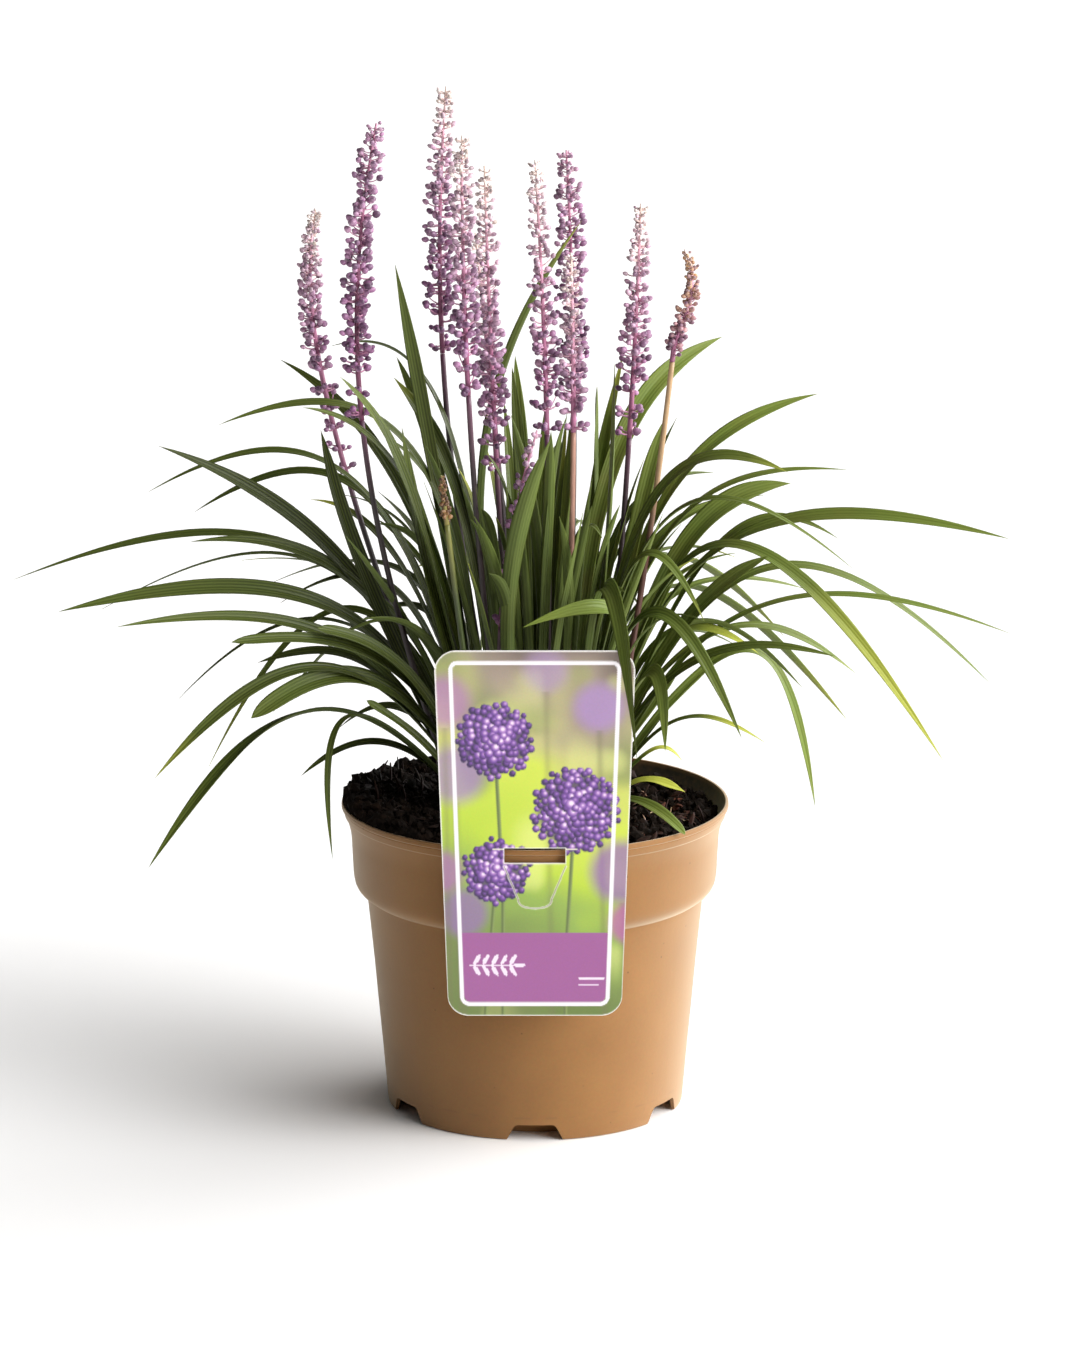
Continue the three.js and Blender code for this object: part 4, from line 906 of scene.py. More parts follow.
# A tuft: its name, its heading in degrees from the right towards the back, how many leaves the rule adds, and
# the leaves. A leaf: its middle (x, y, z), its tip (x, y, z), its flat width, and its roll in degrees at root
# and tip. Some also say how old they are, from 0 to about 2, and whether the tip is blunt.
tufts = {
    "right": (0, 0, [
        [48, 6, 234, 109, 16, 277, 6, 30, 60, 0.35, 0], [50, -5, 226, 119, -12, 253, 4, 20, 30, 0, 0],
        [72, -12, 223, 180, -30, 230, 6.5, 20, 60, 0.25, 0], [55, 13, 214, 99, 24, 240, 9, 50, 60],
        [70, -20, 226, 155, -50, 148, 6.8, 0, 60, 0.75, 0], [88, 16, 208, 178, 34, 158, 4.5, 10, 60],
        [84, 4, 195, 184, 8, 184, 3.5, 20, 40, 0, 0], [68, -10, 221, 116, -12, 226, 3.5, 40, 50, 0, 0],
        [82, 20, 175, 110, 28, 109, 5.5, 20, 85, 0.1, 0], [48, -3, 184, 86, -8, 180, 5, 30, 40, 0.8, 0],
        [45, 8, 148, 68, 14, 171, 4, 60, 60, 0.2, 1], [54, -8, 153, 88, -20, 148, 3.5, 10, 20, 0.9, 0],
        [36, 1, 215, 50, 4, 270, 7.4, 70, 70], [40, -3, 128, 58, -8, 125, 6, 20, 10, 2.2, 0],
        [44, 4, 138, 57, 6, 134, 2.6, 20, 30, 1.3, 0],
    ]),
    "back_right": (45, 8, [
        [70, 40, 177, 127, 62, 155, 4.5, 20, 50], [29, 26, 245, 73, 54, 292, 8.5, 50, 60],
        [22, 26, 205, 24, 36, 276, 8.5, -60, -60, 0.3, 1], [44, 32, 180, 65, 46, 224, 4.5, 30, 60],
        [42, 30, 145, 60, 42, 170, 4.5, 60, 60],
    ]),
    "back": (90, 11, [
        [-3, 36, 205, -9, 46, 282, 7, 0, 0], [-20, 34, 246, 18, 24, 343, 5, -60, -60, 0.5, 0],
    ]),
    "back_left": (135, 4, [
        [-34, 32, 262, -80, 66, 286, 4.5, 20, 30], [-50, 34, 232, -100, 60, 282, 5, -60, -60],
        [-56, 38, 190, -116, 66, 200, 3.5, 10, 20], [-72, 42, 186, -130, 64, 116, 4.5, -20, -60, 0.6, 0],
        [-76, 46, 180, -142, 72, 142, 3.5, 0, -30], [-50, 32, 147, -77, 42, 138, 4.5, -30, -30],
        [-34, 34, 228, -54, 50, 285, 5.5, -60, -60, 0, 0],
        [-52, 34, 205, -88, 50, 228, 3.5, -20, -30, 0.7, 0],
    ]),
    "left": (180, 0, [
        [-46, -6, 258, -120, -20, 272, 5, -20, -40, 0.1, 0],
        [-68, -4, 246, -148, -12, 244, 4, -10, -40, 0.2, 0],
        [-62, 8, 236, -132, 22, 229, 4.5, -30, -50, 0.1, 0],
        [-73, -8, 215, -143, -20, 264, 7, -60, -60, 0, 0], [-85, 4, 217, -202, 14, 204, 5, -10, -40],
        [-80, 20, 207, -170, 40, 186, 3.5, 0, -10], [-68, -9, 207, -131, -26, 228, 6, -50, -50],
        [-78, -16, 200, -181, -36, 203, 7.5, -50, -70, 0.1, 0],
        [-75, -19, 188, -158, -48, 200, 5.5, -50, -60], [-62, 8, 170, -108, 18, 170, 5.5, -20, -40],
        [-86, -18, 160, -148, -40, 103, 7, 60, -60, 0.1, 0], [-58, -4, 144, -90, -18, 134, 4, -30, -40],
        [-36, -3, 235, -53, -8, 332, 6.5, -80, -80], [-62, -14, 206, -81, -24, 271, 8, -70, -70, 0, 0],
    ]),
    "front_left": (225, 0, [
        [-56, -36, 182, -114, -60, 197, 6, -40, -50, 0, 1],
        [-48, -34, 178, -82, -50, 200, 6.5, -50, -50, 0, 1],
        [-78, -44, 183, -143, -72, 147, 6, -40, -50, 0.5, 0],
        [-60, -36, 176, -107, -58, 167, 8.5, -50, -60, 0, 1],
        [-70, -38, 163, -77, -46, 108, 3.4, 20, -60, 0.1, 0],
        [-42, -28, 149, -64, -38, 169, 4, -60, -60, 0.2, 1],
        [-44, -30, 243, -87, -46, 284, 4.5, -30, -40, 0, 0],
        [-42, -30, 238, -73, -42, 295, 5.5, -50, -60, 0, 0],
        [-40, -36, 226, -61, -50, 285, 7.5, -50, -60, 0, 0], [-38, -32, 205, -50, -38, 275, 8.5, -60, -60],
    ]),
    "front": (270, 0, [
        [4, -32, 226, 12, -42, 280, 6.5, 30, 50], [-3, -35, 196, -6, -46, 254, 6.2, -30, -50],
        [-6, -30, 222, -18, -36, 264, 6, -30, -40], [-10, -46, 207, 6, -60, 275, 8, 0, 0, 0, 0],
        [2, -27, 213, -9, -30, 278, 5.5, 30, 30], [9, -40, 190, 18, -56, 246, 6.5, 40, 40],
        [-13, -44, 178, -25, -62, 228, 5.5, -30, -40],
    ]),
    "front_right": (315, 0, [
        [44, -29, 243, 95, -50, 260, 6.5, 40, 50], [50, -32, 238, 119, -58, 225, 4, 10, 20],
        [58, -36, 182, 113, -58, 191, 5.5, 40, 40], [42, -40, 203, 78, -62, 160, 6.5, 40, 50, 0, 0],
        [36, -34, 220, 64, -48, 202, 4, 30, 50], [26, -26, 205, 30, -32, 298, 7, 60, 60, 0, 0],
        [52, -34, 192, 88, -50, 228, 8, 50, 60], [26, -54, 217, 38, -94, 160, 8, 30, 60, 0, 0],
        [42, -47, 182, 49, -66, 156, 7, 50, 60], [38, -38, 130, 57, -54, 120.5, 6, 10, 20, 0.3, 1],
        [34, -42, 198, -5, -58, 202, 7, -60, -70, 0, 0],
    ]),
}


def crownCentre(heading):
    turn = math.radians(heading)
    return leafShape["crownRing"] * np.array([math.cos(turn), math.sin(turn), 0])


# Leaves placed by the rule: low runs from 0 to 1, and u and v are repeatable spreads between 0 and 1.
def ruledLeaves(heading, count):
    i = np.arange(count)
    low = i / max(1, count - 1)
    u = (heading * 0.017 + i * 0.618034) % 1
    v = (heading * 0.029 + i * 0.754878) % 1
    turn = np.radians(heading + ruled["sway"] * (0.2 + 0.8 * u) * np.where(i % 2, -1, 1))
    tipReach = blend(*ruled["tipReach"], low ** 0.9) + ruled["spread"] * v
    tipHeight = blend(*ruled["tipHeight"], low ** 1.1) + ruled["spread"] * (u - 0.5)
    middleReach = blend(*ruled["middleReach"], low ** 0.9)
    middleHeight = blend(*ruled["middleHeight"], low) + ruled["spread"] * (v - 0.5)
    roll = ruled["roll"] * (u - 0.5)
    more = np.stack([blend(*ruled["width"], v), roll, 2 * roll], 1)
    return np.concatenate([polar(middleReach, turn, middleHeight), polar(tipReach, turn, tipHeight), more], 1)


# Narrow leaves: places drawn evenly between the upright and the arching end of their ranges.
def fillerLeaves(heading, rng):
    f = fillers
    toRight, toBack = math.cos(math.radians(heading)), math.sin(math.radians(heading))
    count = round(f["count"] - f["fewer"] * max(0, toRight))
    low = (np.arange(count) + rng.uniform(0, 1, count)) / count * blend(1, f["frontLow"], max(0, -toBack))
    turn = np.radians(heading + rng.uniform(-f["sway"], f["sway"], count))
    tipReach, middleReach = blend(*f["tipReach"], low), blend(*f["middleReach"], low)
    middleTurn = turn + rng.normal(0, 0.12, count)
    centre = 0.55 * crownCentre(heading)
    middle = centre + polar(middleReach, middleTurn, blend(*f["middleHeight"], low) + rng.normal(0, 8, count))
    tip = centre + polar(tipReach, turn, blend(*f["tipHeight"], low) + rng.normal(0, 14, count))
    width, roll = rng.uniform(*f["width"], (1, count)), rng.uniform(-f["roll"], f["roll"], (2, count))
    return np.concatenate([middle, tip, width.T, roll.T], 1)


# A leaf is a folded strip with a thin closed section carried along its curve. Its width grows from the root
# as a quarter sine and narrows to the tip as 1 less a power of the way; the fold is a rounded V, the edges
# wave a little, and the strip rolls about the curve from the root's roll to the tip's.
def leafMesh(heading, rows, rng):
    s = leafShape
    centre = crownCentre(heading)
    middle, tip, width = rows[:, 0:3], rows[:, 3:6], rows[:, 6]
    count = len(rows)
    forth = unit(centre)
    left = np.array([-forth[1], forth[0], 0])
    out = unit((middle - centre) * [1, 1, 0])
    rank = np.linspace(0, 1, count)[:, None]
    root = centre + forth * s["rootSpread"] * (2 * rank - 1) + left * s["rootSpread"] * (out @ left)[:, None]
    root[:, 2] = s["root"]
    t = 1 - (1 - np.linspace(0, s["lastStep"], s["steps"])) ** s["stepEase"]
    line, way = along(bendControls(root, middle, tip), t)
    phase = rng.uniform(0, fullTurn, (4, count, 1))
    side = unit(np.cross(tip - root, [0, 0, 1]))[:, None]
    across = unit(side - way * np.sum(side * way, -1, keepdims=True))
    roll = blend(rows[:, 7:8], rows[:, 8:9], t ** s["rollEase"]) + s["twist"] * t * np.sin(5.0 * t + phase[0])
    roll = np.radians(roll + s["lowerTurn"] * np.sin(phase[0]) * (1 - t) ** 2)
    over = np.cross(way, across)
    across = across * np.cos(roll)[..., None] + over * np.sin(roll)[..., None]
    up = np.cross(across, way)
    widening = s["foot"] + (1 - s["foot"]) * np.sin(0.5 * np.pi * np.minimum(1, t / s["full"]))
    toTip = np.clip((t - s["narrows"]) / (1 - s["narrows"]), 0, 1)
    taper = np.where(rows[:, 10:] > 0, s["bluntPower"], s["tipPower"])
    half = 0.5 * s["folded"] * width[:, None] * widening * (1 - toTip ** taper)
    half = half * (1 + s["uneven"] * np.sin(9 * t + phase[1]))
    top = np.array([-1, -0.82, -0.5, -0.2, 0, 0.2, 0.5, 0.82, 1])
    under = top[-2:0:-1]
    spread = np.concatenate([top, under])
    isUnder = np.concatenate([np.zeros(len(top)), np.ones(len(under))])
    thick = 0.5 * s["thickness"] * (1 - s["thinTip"] * toTip)
    keel = s["keel"] * half * (1 - 0.35 * toTip)
    fold = keel[..., None] * (2 * np.abs(spread) ** 1.25 - 1)
    waves = np.sin(13 * t[None, :, None] + phase[2][..., None] + 1.5 * np.sign(spread))
    ripple = s["ripple"] * half[..., None] * waves * np.abs(spread) ** 3
    skin = thick[:, None] * (1 - spread ** 4) * np.where(isUnder, -1, 1)
    lift = s["wave"] * np.sin(6 * t + phase[3]) * t * (1 - t) * 4
    height = fold + ripple * t[None, :, None] + skin + lift[..., None]
    points = (line[:, :, None] + across[:, :, None] * (half[..., None] * spread)[..., None]
              + up[:, :, None] * height[..., None])
    columns = len(spread)
    perLeaf = s["steps"] * columns + 1
    every = np.concatenate([points.reshape(count, -1, 3), tip[:, None] + lift[:, -1:, None] * up[:, -1:]], 1)
    faces = repeated(gridFaces(s["steps"], columns), count, perLeaf)
    tipRing = (s["steps"] - 1) * columns + np.arange(columns)
    tips = repeated(fanFaces(perLeaf - 1, tipRing), count, perLeaf)
    roots = repeated(np.arange(columns)[None, ::-1], count, perLeaf)
    spreadOut = lambda values: np.concatenate([
        np.broadcast_to(values, (count, s["steps"], columns)).reshape(count, -1), np.zeros((count, 1))], 1)
    numbers = {"along": spreadOut(t[None, :, None]), "under": spreadOut(isUnder),
               "breadth": spreadOut(half[..., None] * spread)}
    numbers["along"][:, -1] = 1
    numbers = {key: value.ravel() for key, value in numbers.items()}
    return every.reshape(-1, 3), [faces, tips, roots], numbers, perLeaf


# The sheath round a tuft's foot: a lathe shape pressed into five shallow folds.
def crownMesh(heading):
    s = leafShape
    r, z = np.array(s["crownOutline"]).T[:, :, None]
    turn = np.arange(s["crownSides"]) * fullTurn / s["crownSides"]
    points = polar(r * (1 - s["crownFolds"] * (1 + np.cos(5 * turn))), turn, z).reshape(-1, 3)
    points = np.concatenate([points, [[0, 0, z[0, 0]], [0, 0, z[-1, 0] + 0.5]]])
    return points + crownCentre(heading), tubeFaces(len(r), len(turn))


# Leaf blades are waxy and ribbed: satin green above, paler and duller beneath, with fine veins along them and
# yellow-green tips on the oldest. They carry painted shade that darkens them at the root, and painted light
# that makes the tufts towards the right lighter, most at their outer parts. The veins stand 1.1 mm apart,
# twice the real spacing, so that they show.
leafBlade, tree, shader, placed = startMaterial("leaf_blade_waxy", 0.36, ior=1.45, gloss=0.2)
lengthwise, breadth, kind, age, under = (
    addNode(tree, "Attribute", attribute_name=name) for name in ("along", "breadth", "tone", "age", "under"))
patches = addNode(tree, "TexNoise", {"Scale": 1 / (14 * mm), "Detail": 3.0}, placed)
# the green runs from dark to light with the tone, which is raised on the tufts towards the right as painted
# light
greens = addNode(tree, "ValToRGB", links={"Fac": (kind, "Fac")},
                 stops=[(0.0, "#151909"), (0.42, "#2A330D"), (1.0, "#6C7A34")])
patchy = addNode(tree, "Mix", {0: 0.35}, {mixA: (greens, "Color"), mixB: (patches, 1)}, **overlay)
# painted light: a lighter green over the outer part of each leaf, set by its tone
outer = addNode(tree, "MapRange", {"From Min": 0.35, "From Max": 1.0}, {"Value": (lengthwise, "Fac")})
toneAndLightShare = addNode(tree, "MapRange", {"To Min": 0.05, "To Max": 0.8}, {"Value": (kind, "Fac")})
litOuterShare = addNode(tree, "Math", links={0: (outer, "Result"), 1: (toneAndLightShare, "Result")}, operation="MULTIPLY")
litOuter = addNode(tree, "Mix", {mixB: linear("#7C8C3E")}, {0: (litOuterShare, 0), mixA: (patchy, mixed)}, **plainMix)
veins = addNode(tree, "Math", {1: fullTurn / 1.1}, {0: (breadth, "Fac")}, operation="MULTIPLY")
rib = addNode(tree, "Math", links={0: (veins, 0)}, operation="SINE")
ribShare = addNode(tree, "MapRange", {"From Min": -1.0, "To Max": 0.13}, {"Value": (rib, 0)})
veined = addNode(tree, "Mix", {mixB: linear("#98A650")},
                 {0: (ribShare, "Result"), mixA: (litOuter, mixed)}, **plainMix)
paler = addNode(tree, "Math", {1: 0.4}, {0: (under, "Fac")}, operation="MULTIPLY")
beneath = addNode(tree, "Mix", {mixB: linear("#5E6C3C")}, {0: (paler, 0), mixA: (veined, mixed)}, **plainMix)
# old tips turn yellow-green: by the way along the leaf, and earlier on older leaves
onset = addNode(tree, "Math", {1: 0.62}, {0: (age, "Fac")}, operation="MULTIPLY")
turned = addNode(tree, "Math", links={0: (lengthwise, "Fac"), 1: (onset, 0)}, operation="ADD")
yellow = addNode(tree, "MapRange", {"From Min": 1.2, "From Max": 1.42, "To Max": 0.9}, {"Value": (turned, 0)})
yellowed = addNode(tree, "Mix", {mixB: linear("#B3B64A")},
                   {0: (yellow, "Result"), mixA: (beneath, mixed)}, **plainMix)
# painted shade: darker towards the root, down in the clump
rootShade = addNode(tree, "MapRange", {"From Min": 0.0, "From Max": 0.3, "To Min": 0.55, "To Max": 0.0},
               {"Value": (lengthwise, "Fac")})
rootShaded = addNode(tree, "Mix", {mixB: linear("#12180A")},
                 {0: (rootShade, "Result"), mixA: (yellowed, mixed)}, **plainMix)
ribBump = addNode(tree, "Bump", {"Strength": 0.35, "Distance": 0.12 * mm}, {"Height": (rib, 0)})
fine = addNode(tree, "TexNoise", {"Scale": 1 / (2.5 * mm), "Detail": 3.0}, placed)
skinBump = addNode(tree, "Bump", {"Strength": 0.3, "Distance": 0.15 * mm},
                   {"Height": (fine, 0), "Normal": (ribBump, "Normal")})
dull = addNode(tree, "MapRange", {"To Min": 0.34, "To Max": 0.52}, {"Value": (under, "Fac")})
linkTo(shader, {"Base Color": (rootShaded, mixed), "Normal": (skinBump, "Normal"), "Roughness": (dull, "Result")})

leafTotal = 0
for number, (name, (heading, more, leaves)) in enumerate(tufts.items()):
    rng = np.random.default_rng(leafShape["seed"] + number)
    rows = np.array([row + [-1, 0][len(row) - 9:] for row in leaves], float)
    plain = np.concatenate([fillerLeaves(heading, rng), ruledLeaves(heading, more)])
    rows = np.concatenate([rows, np.insert(plain, [9, 9], [-1, 0], 1)])
    # the steepest leaves stand furthest in
    centre = crownCentre(heading)
    steep = (rows[:, 2] - leafShape["root"]) / np.hypot(rows[:, 0] - centre[0], rows[:, 1] - centre[1])
    rows = rows[np.argsort(-steep, kind="stable")]
    points, faces, numbers, perLeaf = leafMesh(heading, rows, rng)
    crownPoints, crownFaces = crownMesh(heading)
    # a leaf's tone: random, and raised on the tufts towards the right as painted light
    leafToneAndLight = blend(0.45 * rng.uniform(0, 1, len(rows)), 1, 0.27 * (1 + math.cos(math.radians(heading))))
    leafAge = np.where(rows[:, 9] < 0, 0.8 * rng.uniform(0, 1, len(rows)) ** 5, rows[:, 9])
    zeros = np.zeros(len(crownPoints))
    numbers = {key: np.concatenate([value, zeros]) for key, value in numbers.items()}
    numbers["tone"] = np.concatenate([np.repeat(leafToneAndLight, perLeaf), zeros + 0.3])
    numbers["age"] = np.concatenate([np.repeat(leafAge, perLeaf), zeros])
    faces += [part + len(points) for part in crownFaces]
    piece = makePiece("leaves_" + name, np.concatenate([points, crownPoints]), [faces], [leafBlade], numbers)
    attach(piece, "root")
    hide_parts("tuft_" + name)
    leafTotal += len(rows)
print("leaves:", leafTotal)


# ---- flower stalks and spikes

spikeShape = {
    "foot": 104.0, "stalkRadius": 1.25, "axisRadius": 1.0, "stalkSteps": 36, "stalkSides": 10, "ridge": 0.08,
    "step": 4.1, "tipStep": 2.5, "looseStep": 8.5, "perRound": 9, "clusters": 3, "reach": 6.9,
    "tipReach": 3.2,
    "budSize": (1.0, 1.58), "tipBud": 0.64, "budStretch": [0.94, 0.94, 1.12], "budTaper": 0.16,
    "stemRings": 4, "stemRadii": (0.34, 0.22), "axisSteps": 60, "axisSides": 8, "axisRidge": 0.06,
    "axisTip": 0.4, "darkBuds": 0.26, "seed": 61,
}
# what sets some spikes apart: how crowded, how complete, how wide and how big their buds are, and how far the
# head bows to the right
spikeKinds = {
    "01": (1.0, 1.0, 0.88, 0.94, 0.0), "10": (1.0, 0.45, 0.6, 1.0, 0.0), "12": (1.5, 1.0, 0.7, 0.86, 4.5),
    "faded": (1.7, 1.0, 0.36, 0.62, 0.0),
}
plainKind = (1.0, 1.0, 1.0, 1.0, 0.0)
# A flower stalk: its name, its foot (x, y), its middle (x, y, z), the spike's tip (x, y, z), the share of the
# way up where the buds start and where they get dense, and how pale the spike is.
stalks = [
    ["01", [-24, 10], [-78, 28, 262], [-84, 33, 346], 0.42, 0.6, 0.45],
    ["02", [-24, -10], [-64, -26, 262], [-59, -25, 389], 0.55, 0.62, -0.45],
    ["03", [-9, 22], [-34, 36, 262], [-34, 42, 393], 0.6, 0.66, 0.0],
    ["04", [-9, -22], [-23.5, -40, 262], [-27, -42, 387], 0.6, 0.66, 0.3],
    ["05", [-5, -3], [-14, -8, 240], [-19, -12, 371], 0.55, 0.62, 0.35],
    ["06", [-3, 5], [-12, 14, 225], [-23, 24, 339], 0.68, 0.75, 0.75],
    ["07", [3, 3], [5, 6, 238], [0, 12, 369.5], 0.6, 0.66, 0.4],
    ["08", [9, 22], [15, 38, 240], [12, 44, 368], 0.62, 0.66, -0.35],
    ["09", [9, -22], [14, -33, 238], [13.5, -36, 341.5], 0.66, 0.7, 0.7],
    ["10", [-9, -31], [-13, -34, 197], [1, -42, 275], 0.5, 0.62, -0.3],
    ["11", [24, 10], [35, 13, 242], [40.5, 17, 351.5], 0.58, 0.66, 0.35],
    ["12", [24, -10], [44, -18, 232], [56, -24, 341], 0.8, 0.82, 0.5],
    ["faded", [-16, -38], [-27, -56, 192], [-35, -62, 262], 0.86, 0.86, 0.0],
]


def stalkControls(row):
    foot = [*row[1], spikeShape["foot"]]
    return bendControls(*(np.array([point], float) for point in (foot, row[2], row[3])))


# Two directions square to each tangent: the first is level with the x axis.
def squareTo(way):
    across = unit(np.cross([0.0, 1.0, 0.0], way))
    return across, np.cross(way, across)


# A rod along a stretch of a curve: circles of a varying radius with shallow ridges, closed by two fans.
def rodMesh(controls, t, radius, sides, ridge):
    line, way = (values[0] for values in along(controls, t))
    across, up = (direction[:, None] for direction in squareTo(way))
    turn = np.arange(sides) * fullTurn / sides
    r = radius[:, None] * (1 + ridge * np.cos(5 * turn))
    rings = line[:, None] + across * (r * np.cos(turn))[..., None] + up * (r * np.sin(turn))[..., None]
    return np.concatenate([rings.reshape(-1, 3), line[:1], line[-1:]]), tubeFaces(len(t), sides)


# Where the buds of a spike are: the way up the axis, the angle round it, reach, size and rise of each. They
# stand in rounds, far apart at the foot and closer towards the tip, each round turned from the last.
def budPlaces(row, length, rng):
    s = spikeShape
    start, dense, pale = row[4:7]
    crowd, complete, width, swell, _ = spikeKinds.get(row[0], plainKind)
    loose = np.arange(start + 2.2 / length, dense - 0.4 * s["looseStep"] / length, s["looseStep"] / length)
    rounds = int((1 - dense) * length / (0.5 * (s["step"] + s["tipStep"])) * crowd)
    share = (np.arange(rounds) + 0.2) / rounds
    ease = share * (1 + (s["step"] - s["tipStep"]) / (s["step"] + s["tipStep"]) * (1 - share))
    roundAt = np.concatenate([loose, dense + (1 - dense - 1.5 / length) * ease])
    perRound = s["perRound"]
    at = np.repeat(roundAt, perRound)
    high = np.clip((at - dense) / (1 - dense), 0, 1)
    turn = np.tile(np.arange(perRound) % s["clusters"] * fullTurn / s["clusters"], len(roundAt))
    turn = turn + np.repeat(rng.uniform(0, fullTurn, len(roundAt)), perRound) + rng.normal(0, 0.42, len(at))
    at = at + rng.normal(0, 0.95, len(at)) * blend(1.0, 0.5, high) / length
    kept = rng.uniform(0, 1, len(at)) < blend(0.9, 0.75, high ** 2) * complete
    kept &= (at > start + 1.0 / length) & (at < 1 - 0.8 / length)
    at, turn, high = at[kept], turn[kept], high[kept]
    count = len(at)
    narrowing = high ** max(1.1, 3.2 - 3 * max(0, pale) - 8 * min(0, pale))
    reach = blend(s["reach"], s["tipReach"], narrowing) * rng.uniform(0.55, 1.05, count) * width
    size = blend(rng.uniform(*s["budSize"], count), s["tipBud"], narrowing) * swell
    rise = rng.normal(0.4, 0.26, count)
    return at, turn, reach, size, rise, high


budSides, budRings = 7, 4
latitude = np.linspace(0, np.pi, budRings + 2)[1:-1, None]
longitude = np.arange(budSides) * fullTurn / budSides
budTemplate = polar(np.sin(latitude), longitude, -np.cos(latitude)).reshape(-1, 3)
budTemplate = np.concatenate([budTemplate, [[0, 0, -1], [0, 0, 1]]])
budQuads, *budEnds = tubeFaces(budRings, budSides)
budFaces = np.concatenate([budQuads[:, [0, 1, 2]], budQuads[:, [0, 2, 3]], *budEnds])


# How far a head bows to the right at a share of the way up: a half wave over its dense part.
def bowed(row, at):
    bow = spikeKinds.get(row[0], plainKind)[4]
    high = np.clip((at - row[5]) / (1 - row[5]), 0, 1)
    return bow * np.sin(math.pi * high ** 1.3)


# Buds are egg shapes on thin curved stalks that leave the axis squarely and turn up towards the bud.
def budMesh(row, controls, rng):
    s = spikeShape
    fine, _ = along(controls, np.linspace(0, 1, 100))
    length = np.linalg.norm(np.diff(fine[0], axis=0), axis=1).sum()
    at, turn, reach, size, rise, high = budPlaces(row, length, rng)
    line, way = (values[0] for values in along(controls, at))
    line[:, 0] += bowed(row, at)
    across, up = squareTo(way)
    out = across * np.cos(turn)[:, None] + up * np.sin(turn)[:, None]
    facing = unit(out * np.cos(rise)[:, None] + way * np.sin(rise)[:, None])
    centre = line + out * (reach - size)[:, None] + way * ((reach - size) * np.tan(rise) * 0.6)[:, None]
    first = unit(np.cross(facing, way + 0.01))
    local = budTemplate[None] * size[:, None, None]
    local = local * rng.uniform(0.9, 1.12, (len(at), 1, 3)) * s["budStretch"]
    local[..., :2] *= 1 - s["budTaper"] * budTemplate[None, :, 2:]
    buds = centre[:, None] + local @ np.stack([first, np.cross(facing, first), facing], 1)
    start = line + out * blend(s["axisRadius"], 0.45, high)[:, None] * 0.6
    end = centre - facing * (0.75 * size)[:, None]
    knee = blend(start, end, 0.6) - way * (0.12 * reach)[:, None]
    t = np.linspace(0, 1, s["stemRings"])[:, None]
    stems = parabola(start[:, None], knee[:, None], end[:, None], t)[:, :, None]
    thick = blend(*s["stemRadii"], high)[:, None, None, None]
    corners = (np.arange(4) * fullTurn / 4)[:, None]
    side = unit(np.cross(out, way))[:, None, None]
    over = np.cross(out[:, None, None], side)
    rings = stems + thick * (side * np.cos(corners) + over * np.sin(corners))
    return buds, rings, at, high


# Petals are thin, soft and a little glossy: lilac-pink with darker, greyer ends, deeper low on the spike.
budPetal, tree, shader, placed = startMaterial("flower_bud_petal", 0.32, ior=1.4, sheen=0.1, gloss=0.6)
inks = addNode(tree, "Attribute", attribute_name="petal")
mottle = addNode(tree, "TexNoise", {"Scale": 1 / (1.1 * mm), "Detail": 3.0}, placed)
speckled = addNode(tree, "Mix", {0: 0.5}, {mixA: (inks, "Color"), mixB: (mottle, 0)}, **overlay)
bump = addNode(tree, "Bump", {"Strength": 0.3, "Distance": 0.15 * mm}, {"Height": (mottle, 0)})
linkTo(shader, {"Base Color": (speckled, mixed), "Normal": (bump, "Normal")})

# Flower stems are firm green tissue stained with purple: satin, finely streaked along their length.
stemSkin, tree, shader, placed = startMaterial("flower_stem_skin", 0.4, ior=1.45)
inks = addNode(tree, "Attribute", attribute_name="petal")
drawn = addNode(tree, "Mapping", {"Scale": (1.0, 1.0, 0.12)}, placed)
streak = addNode(tree, "TexNoise", {"Scale": 1 / (0.8 * mm), "Detail": 3.0}, {"Vector": (drawn, "Vector")})
streaked = addNode(tree, "Mix", {0: 0.45}, {mixA: (inks, "Color"), mixB: (streak, 0)}, **overlay)
bump = addNode(tree, "Bump", {"Strength": 0.4, "Distance": 0.15 * mm}, {"Height": (streak, 0)})
linkTo(shader, {"Base Color": (streaked, mixed), "Normal": (bump, "Normal")})

# the colours of a stalk's foot and head, and how far up the head's colour starts
stalkColours = {"12": ("#54362E", "#A98A66", 0.6), "09": ("#6A4C40", "#A07868", 0.6),
                "faded": ("#3A4420", "#6A6A34", 0.75)}
plainStalk = ("#2E2224", "#5C3A4C", 0.8)
# colours from a spike's foot to its tip: its buds, deep purple to cream-pink, their darker ends, the buds'
# small stems and the axis; then those of the spikes that differ
plainSpike = {
    "bud": [(0.0, "#8E5B84"), (0.3, "#AC7FA0"), (0.6, "#C8A3B8"), (0.82, "#DDC4CC"), (0.95, "#EADCD6")],
    "end": [(0.0, "#432C44"), (0.5, "#624460"), (0.85, "#8A707E"), (1.0, "#BCAA9E")],
    "stem": [(0.0, "#B87C9C"), (0.5, "#D8A8BE"), (0.9, "#E8D0C8")],
    "axis": [(0.0, "#6E3A54"), (0.4, "#A86A88"), (0.8, "#D0A0B0"), (1.0, "#E4D2C4")],
}
spikeColours = {
    "12": {"bud": [(0.0, "#A2708E"), (0.45, "#B98C8E"), (0.75, "#BE9470"), (1.0, "#CFA272")]},
    "faded": {"bud": [(0, "#5E3C24"), (1, "#8E6A40")], "end": [(0, "#40281A"), (1, "#6A4A2C")],
              "stem": [(0, "#8A6038")], "axis": [(0, "#7A7038")]},
}

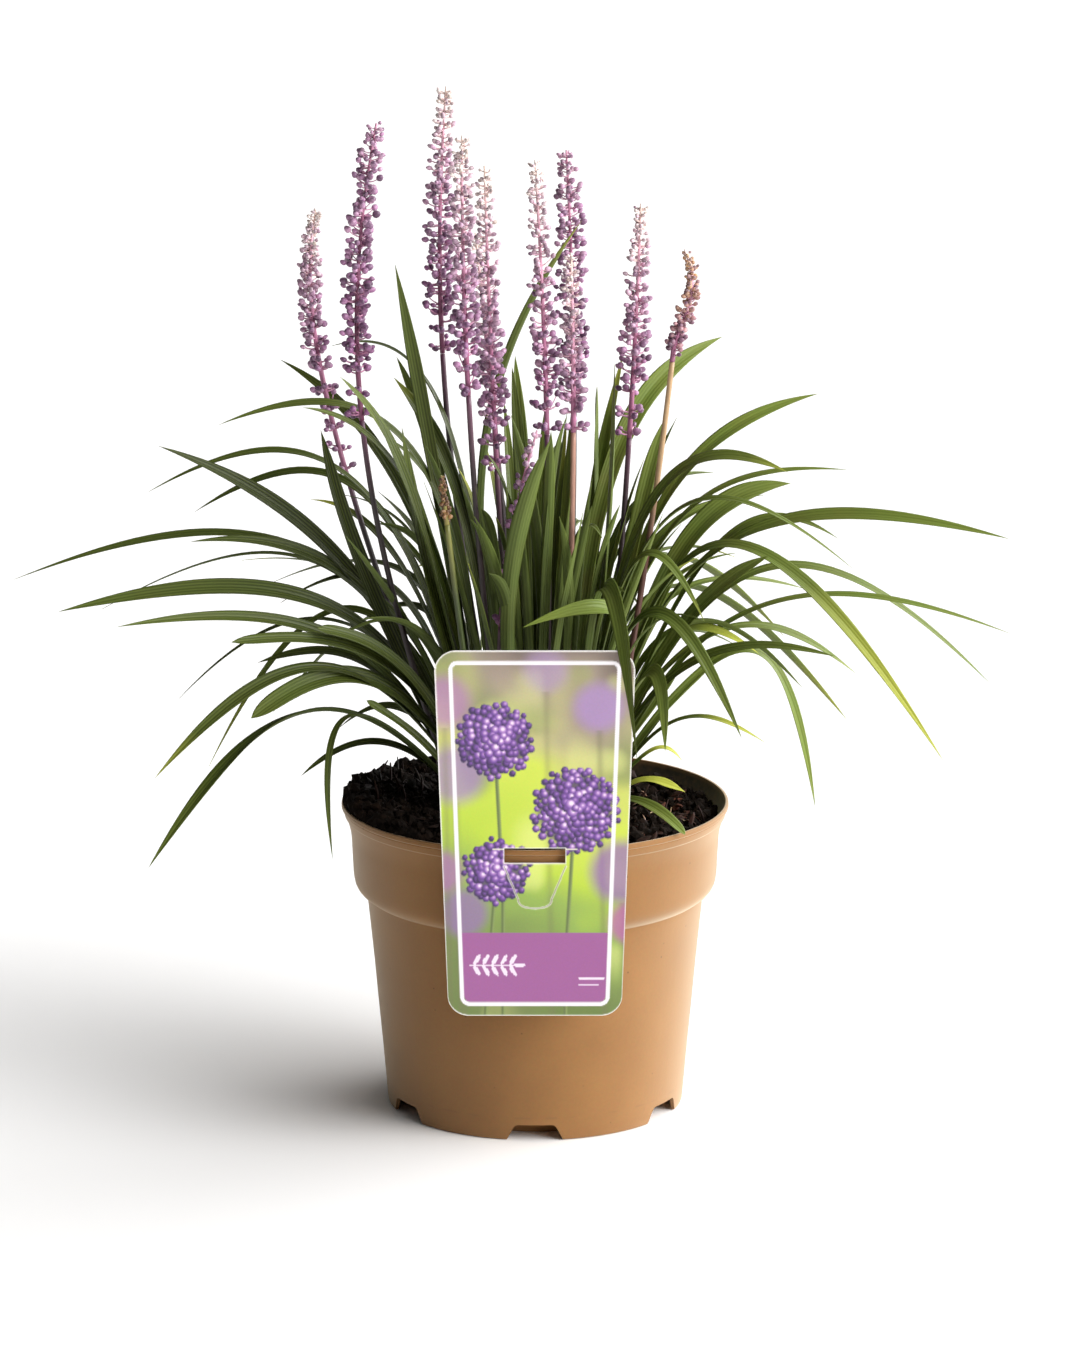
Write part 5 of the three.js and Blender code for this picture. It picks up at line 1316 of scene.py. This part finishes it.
budTotal = 0
for number, row in enumerate(stalks):
    s, name, (start, dense, pale) = spikeShape, row[0], row[4:]
    isFaded = name == "faded"
    rng = np.random.default_rng(s["seed"] + number)
    controls = stalkControls(row)
    t = np.linspace(0.002, start - 0.001, s["stalkSteps"])
    radius = blend(s["stalkRadius"], s["axisRadius"], t / start)
    points, faces = rodMesh(controls, t, radius, s["stalkSides"], s["ridge"])
    way = np.concatenate([np.repeat(t / start, s["stalkSides"]), [0, 1]])
    foot, head, risen = stalkColours.get(name, plainStalk)
    colours = ramp(way, [(0.0, foot), (risen, foot), (risen + 0.18, head)])
    stalk = makePiece("flower_stalk_" + name, points, [faces], [stemSkin], colours={"petal": colours})
    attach(stalk, "root")
    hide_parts("stalk_" + name)

    # the spike: buds, then their small stems, then the axis
    buds, rings, at, high = budMesh(row, controls, rng)
    count, perBud = buds.shape[:2]
    perStem = s["stemRings"] * 4
    t = np.linspace(start, 0.996, s["axisSteps"])
    up = np.clip((t - dense) / (1 - dense), 0, 1)
    axisRadii = blend(s["axisRadius"], s["axisTip"], up)
    axisPoints, axisFaces = rodMesh(controls, t, axisRadii, s["axisSides"], s["axisRidge"])
    axisPoints[:, 0] += bowed(row, np.concatenate([np.repeat(t, s["axisSides"]), t[[0, -1]]]))
    points = np.concatenate([buds.reshape(-1, 3), rings.reshape(-1, 3), axisPoints])
    stemFirst, axisFirst = count * perBud, count * (perBud + perStem)
    caps = [np.array([[3, 2, 1, 0]]), np.array([[0, 1, 2, 3]]) + perStem - 4]
    green = [repeated(part, count, perStem) + stemFirst for part in [gridFaces(s["stemRings"], 4)] + caps]
    green += [part + axisFirst for part in axisFaces]

    # a bud's colour comes from its height, a faded one's from how ripe it is; the outer ends are darker, and
    # some buds are dark all over
    inks = {**plainSpike, **spikeColours.get(name, {})}
    ripe = rng.uniform(0, 1, count)
    level = high * (1 + 1.1 * min(0, pale)) + 0.5 * max(0, pale) * (1 - high)
    level = np.clip(level + rng.normal(0, 0.08, count), 0, 1)
    body, end = (ramp(ripe if isFaded else level, inks[part])[:, None] for part in ("bud", "end"))
    toEnd = softStep(0.1, 0.95, budTemplate[:, 2])[None] * (0.35 + 0.6 * ripe[:, None])
    darkBud = np.where(rng.uniform(0, 1, count) < s["darkBuds"], 0.75, 0.0)[:, None]
    budColours = blend(body, end, np.maximum(toEnd, darkBud)[..., None])
    budColours *= rng.uniform(0.7, 1.24, (count, 1, 1))
    stemTone = ramp(level, inks["stem"])
    axisTone = ramp(np.clip(up * (1 + min(0, pale)) + 0.5 * pale * (1 - up), 0, 1), inks["axis"])
    colours = np.concatenate([budColours.reshape(-1, 3), np.repeat(stemTone, perStem, 0),
                              np.repeat(axisTone, s["axisSides"], 0), axisTone[[0, -1]]])
    spike = makePiece("flower_spike_" + name, points, [[repeated(budFaces, count, perBud)], green],
                      [budPetal, stemSkin], colours={"petal": colours})
    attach(spike, "root")
    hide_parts("spike_" + name)
    budTotal += count
print("spikes:", len(stalks), "with", budTotal, "buds")


# ---- finish

low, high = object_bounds()
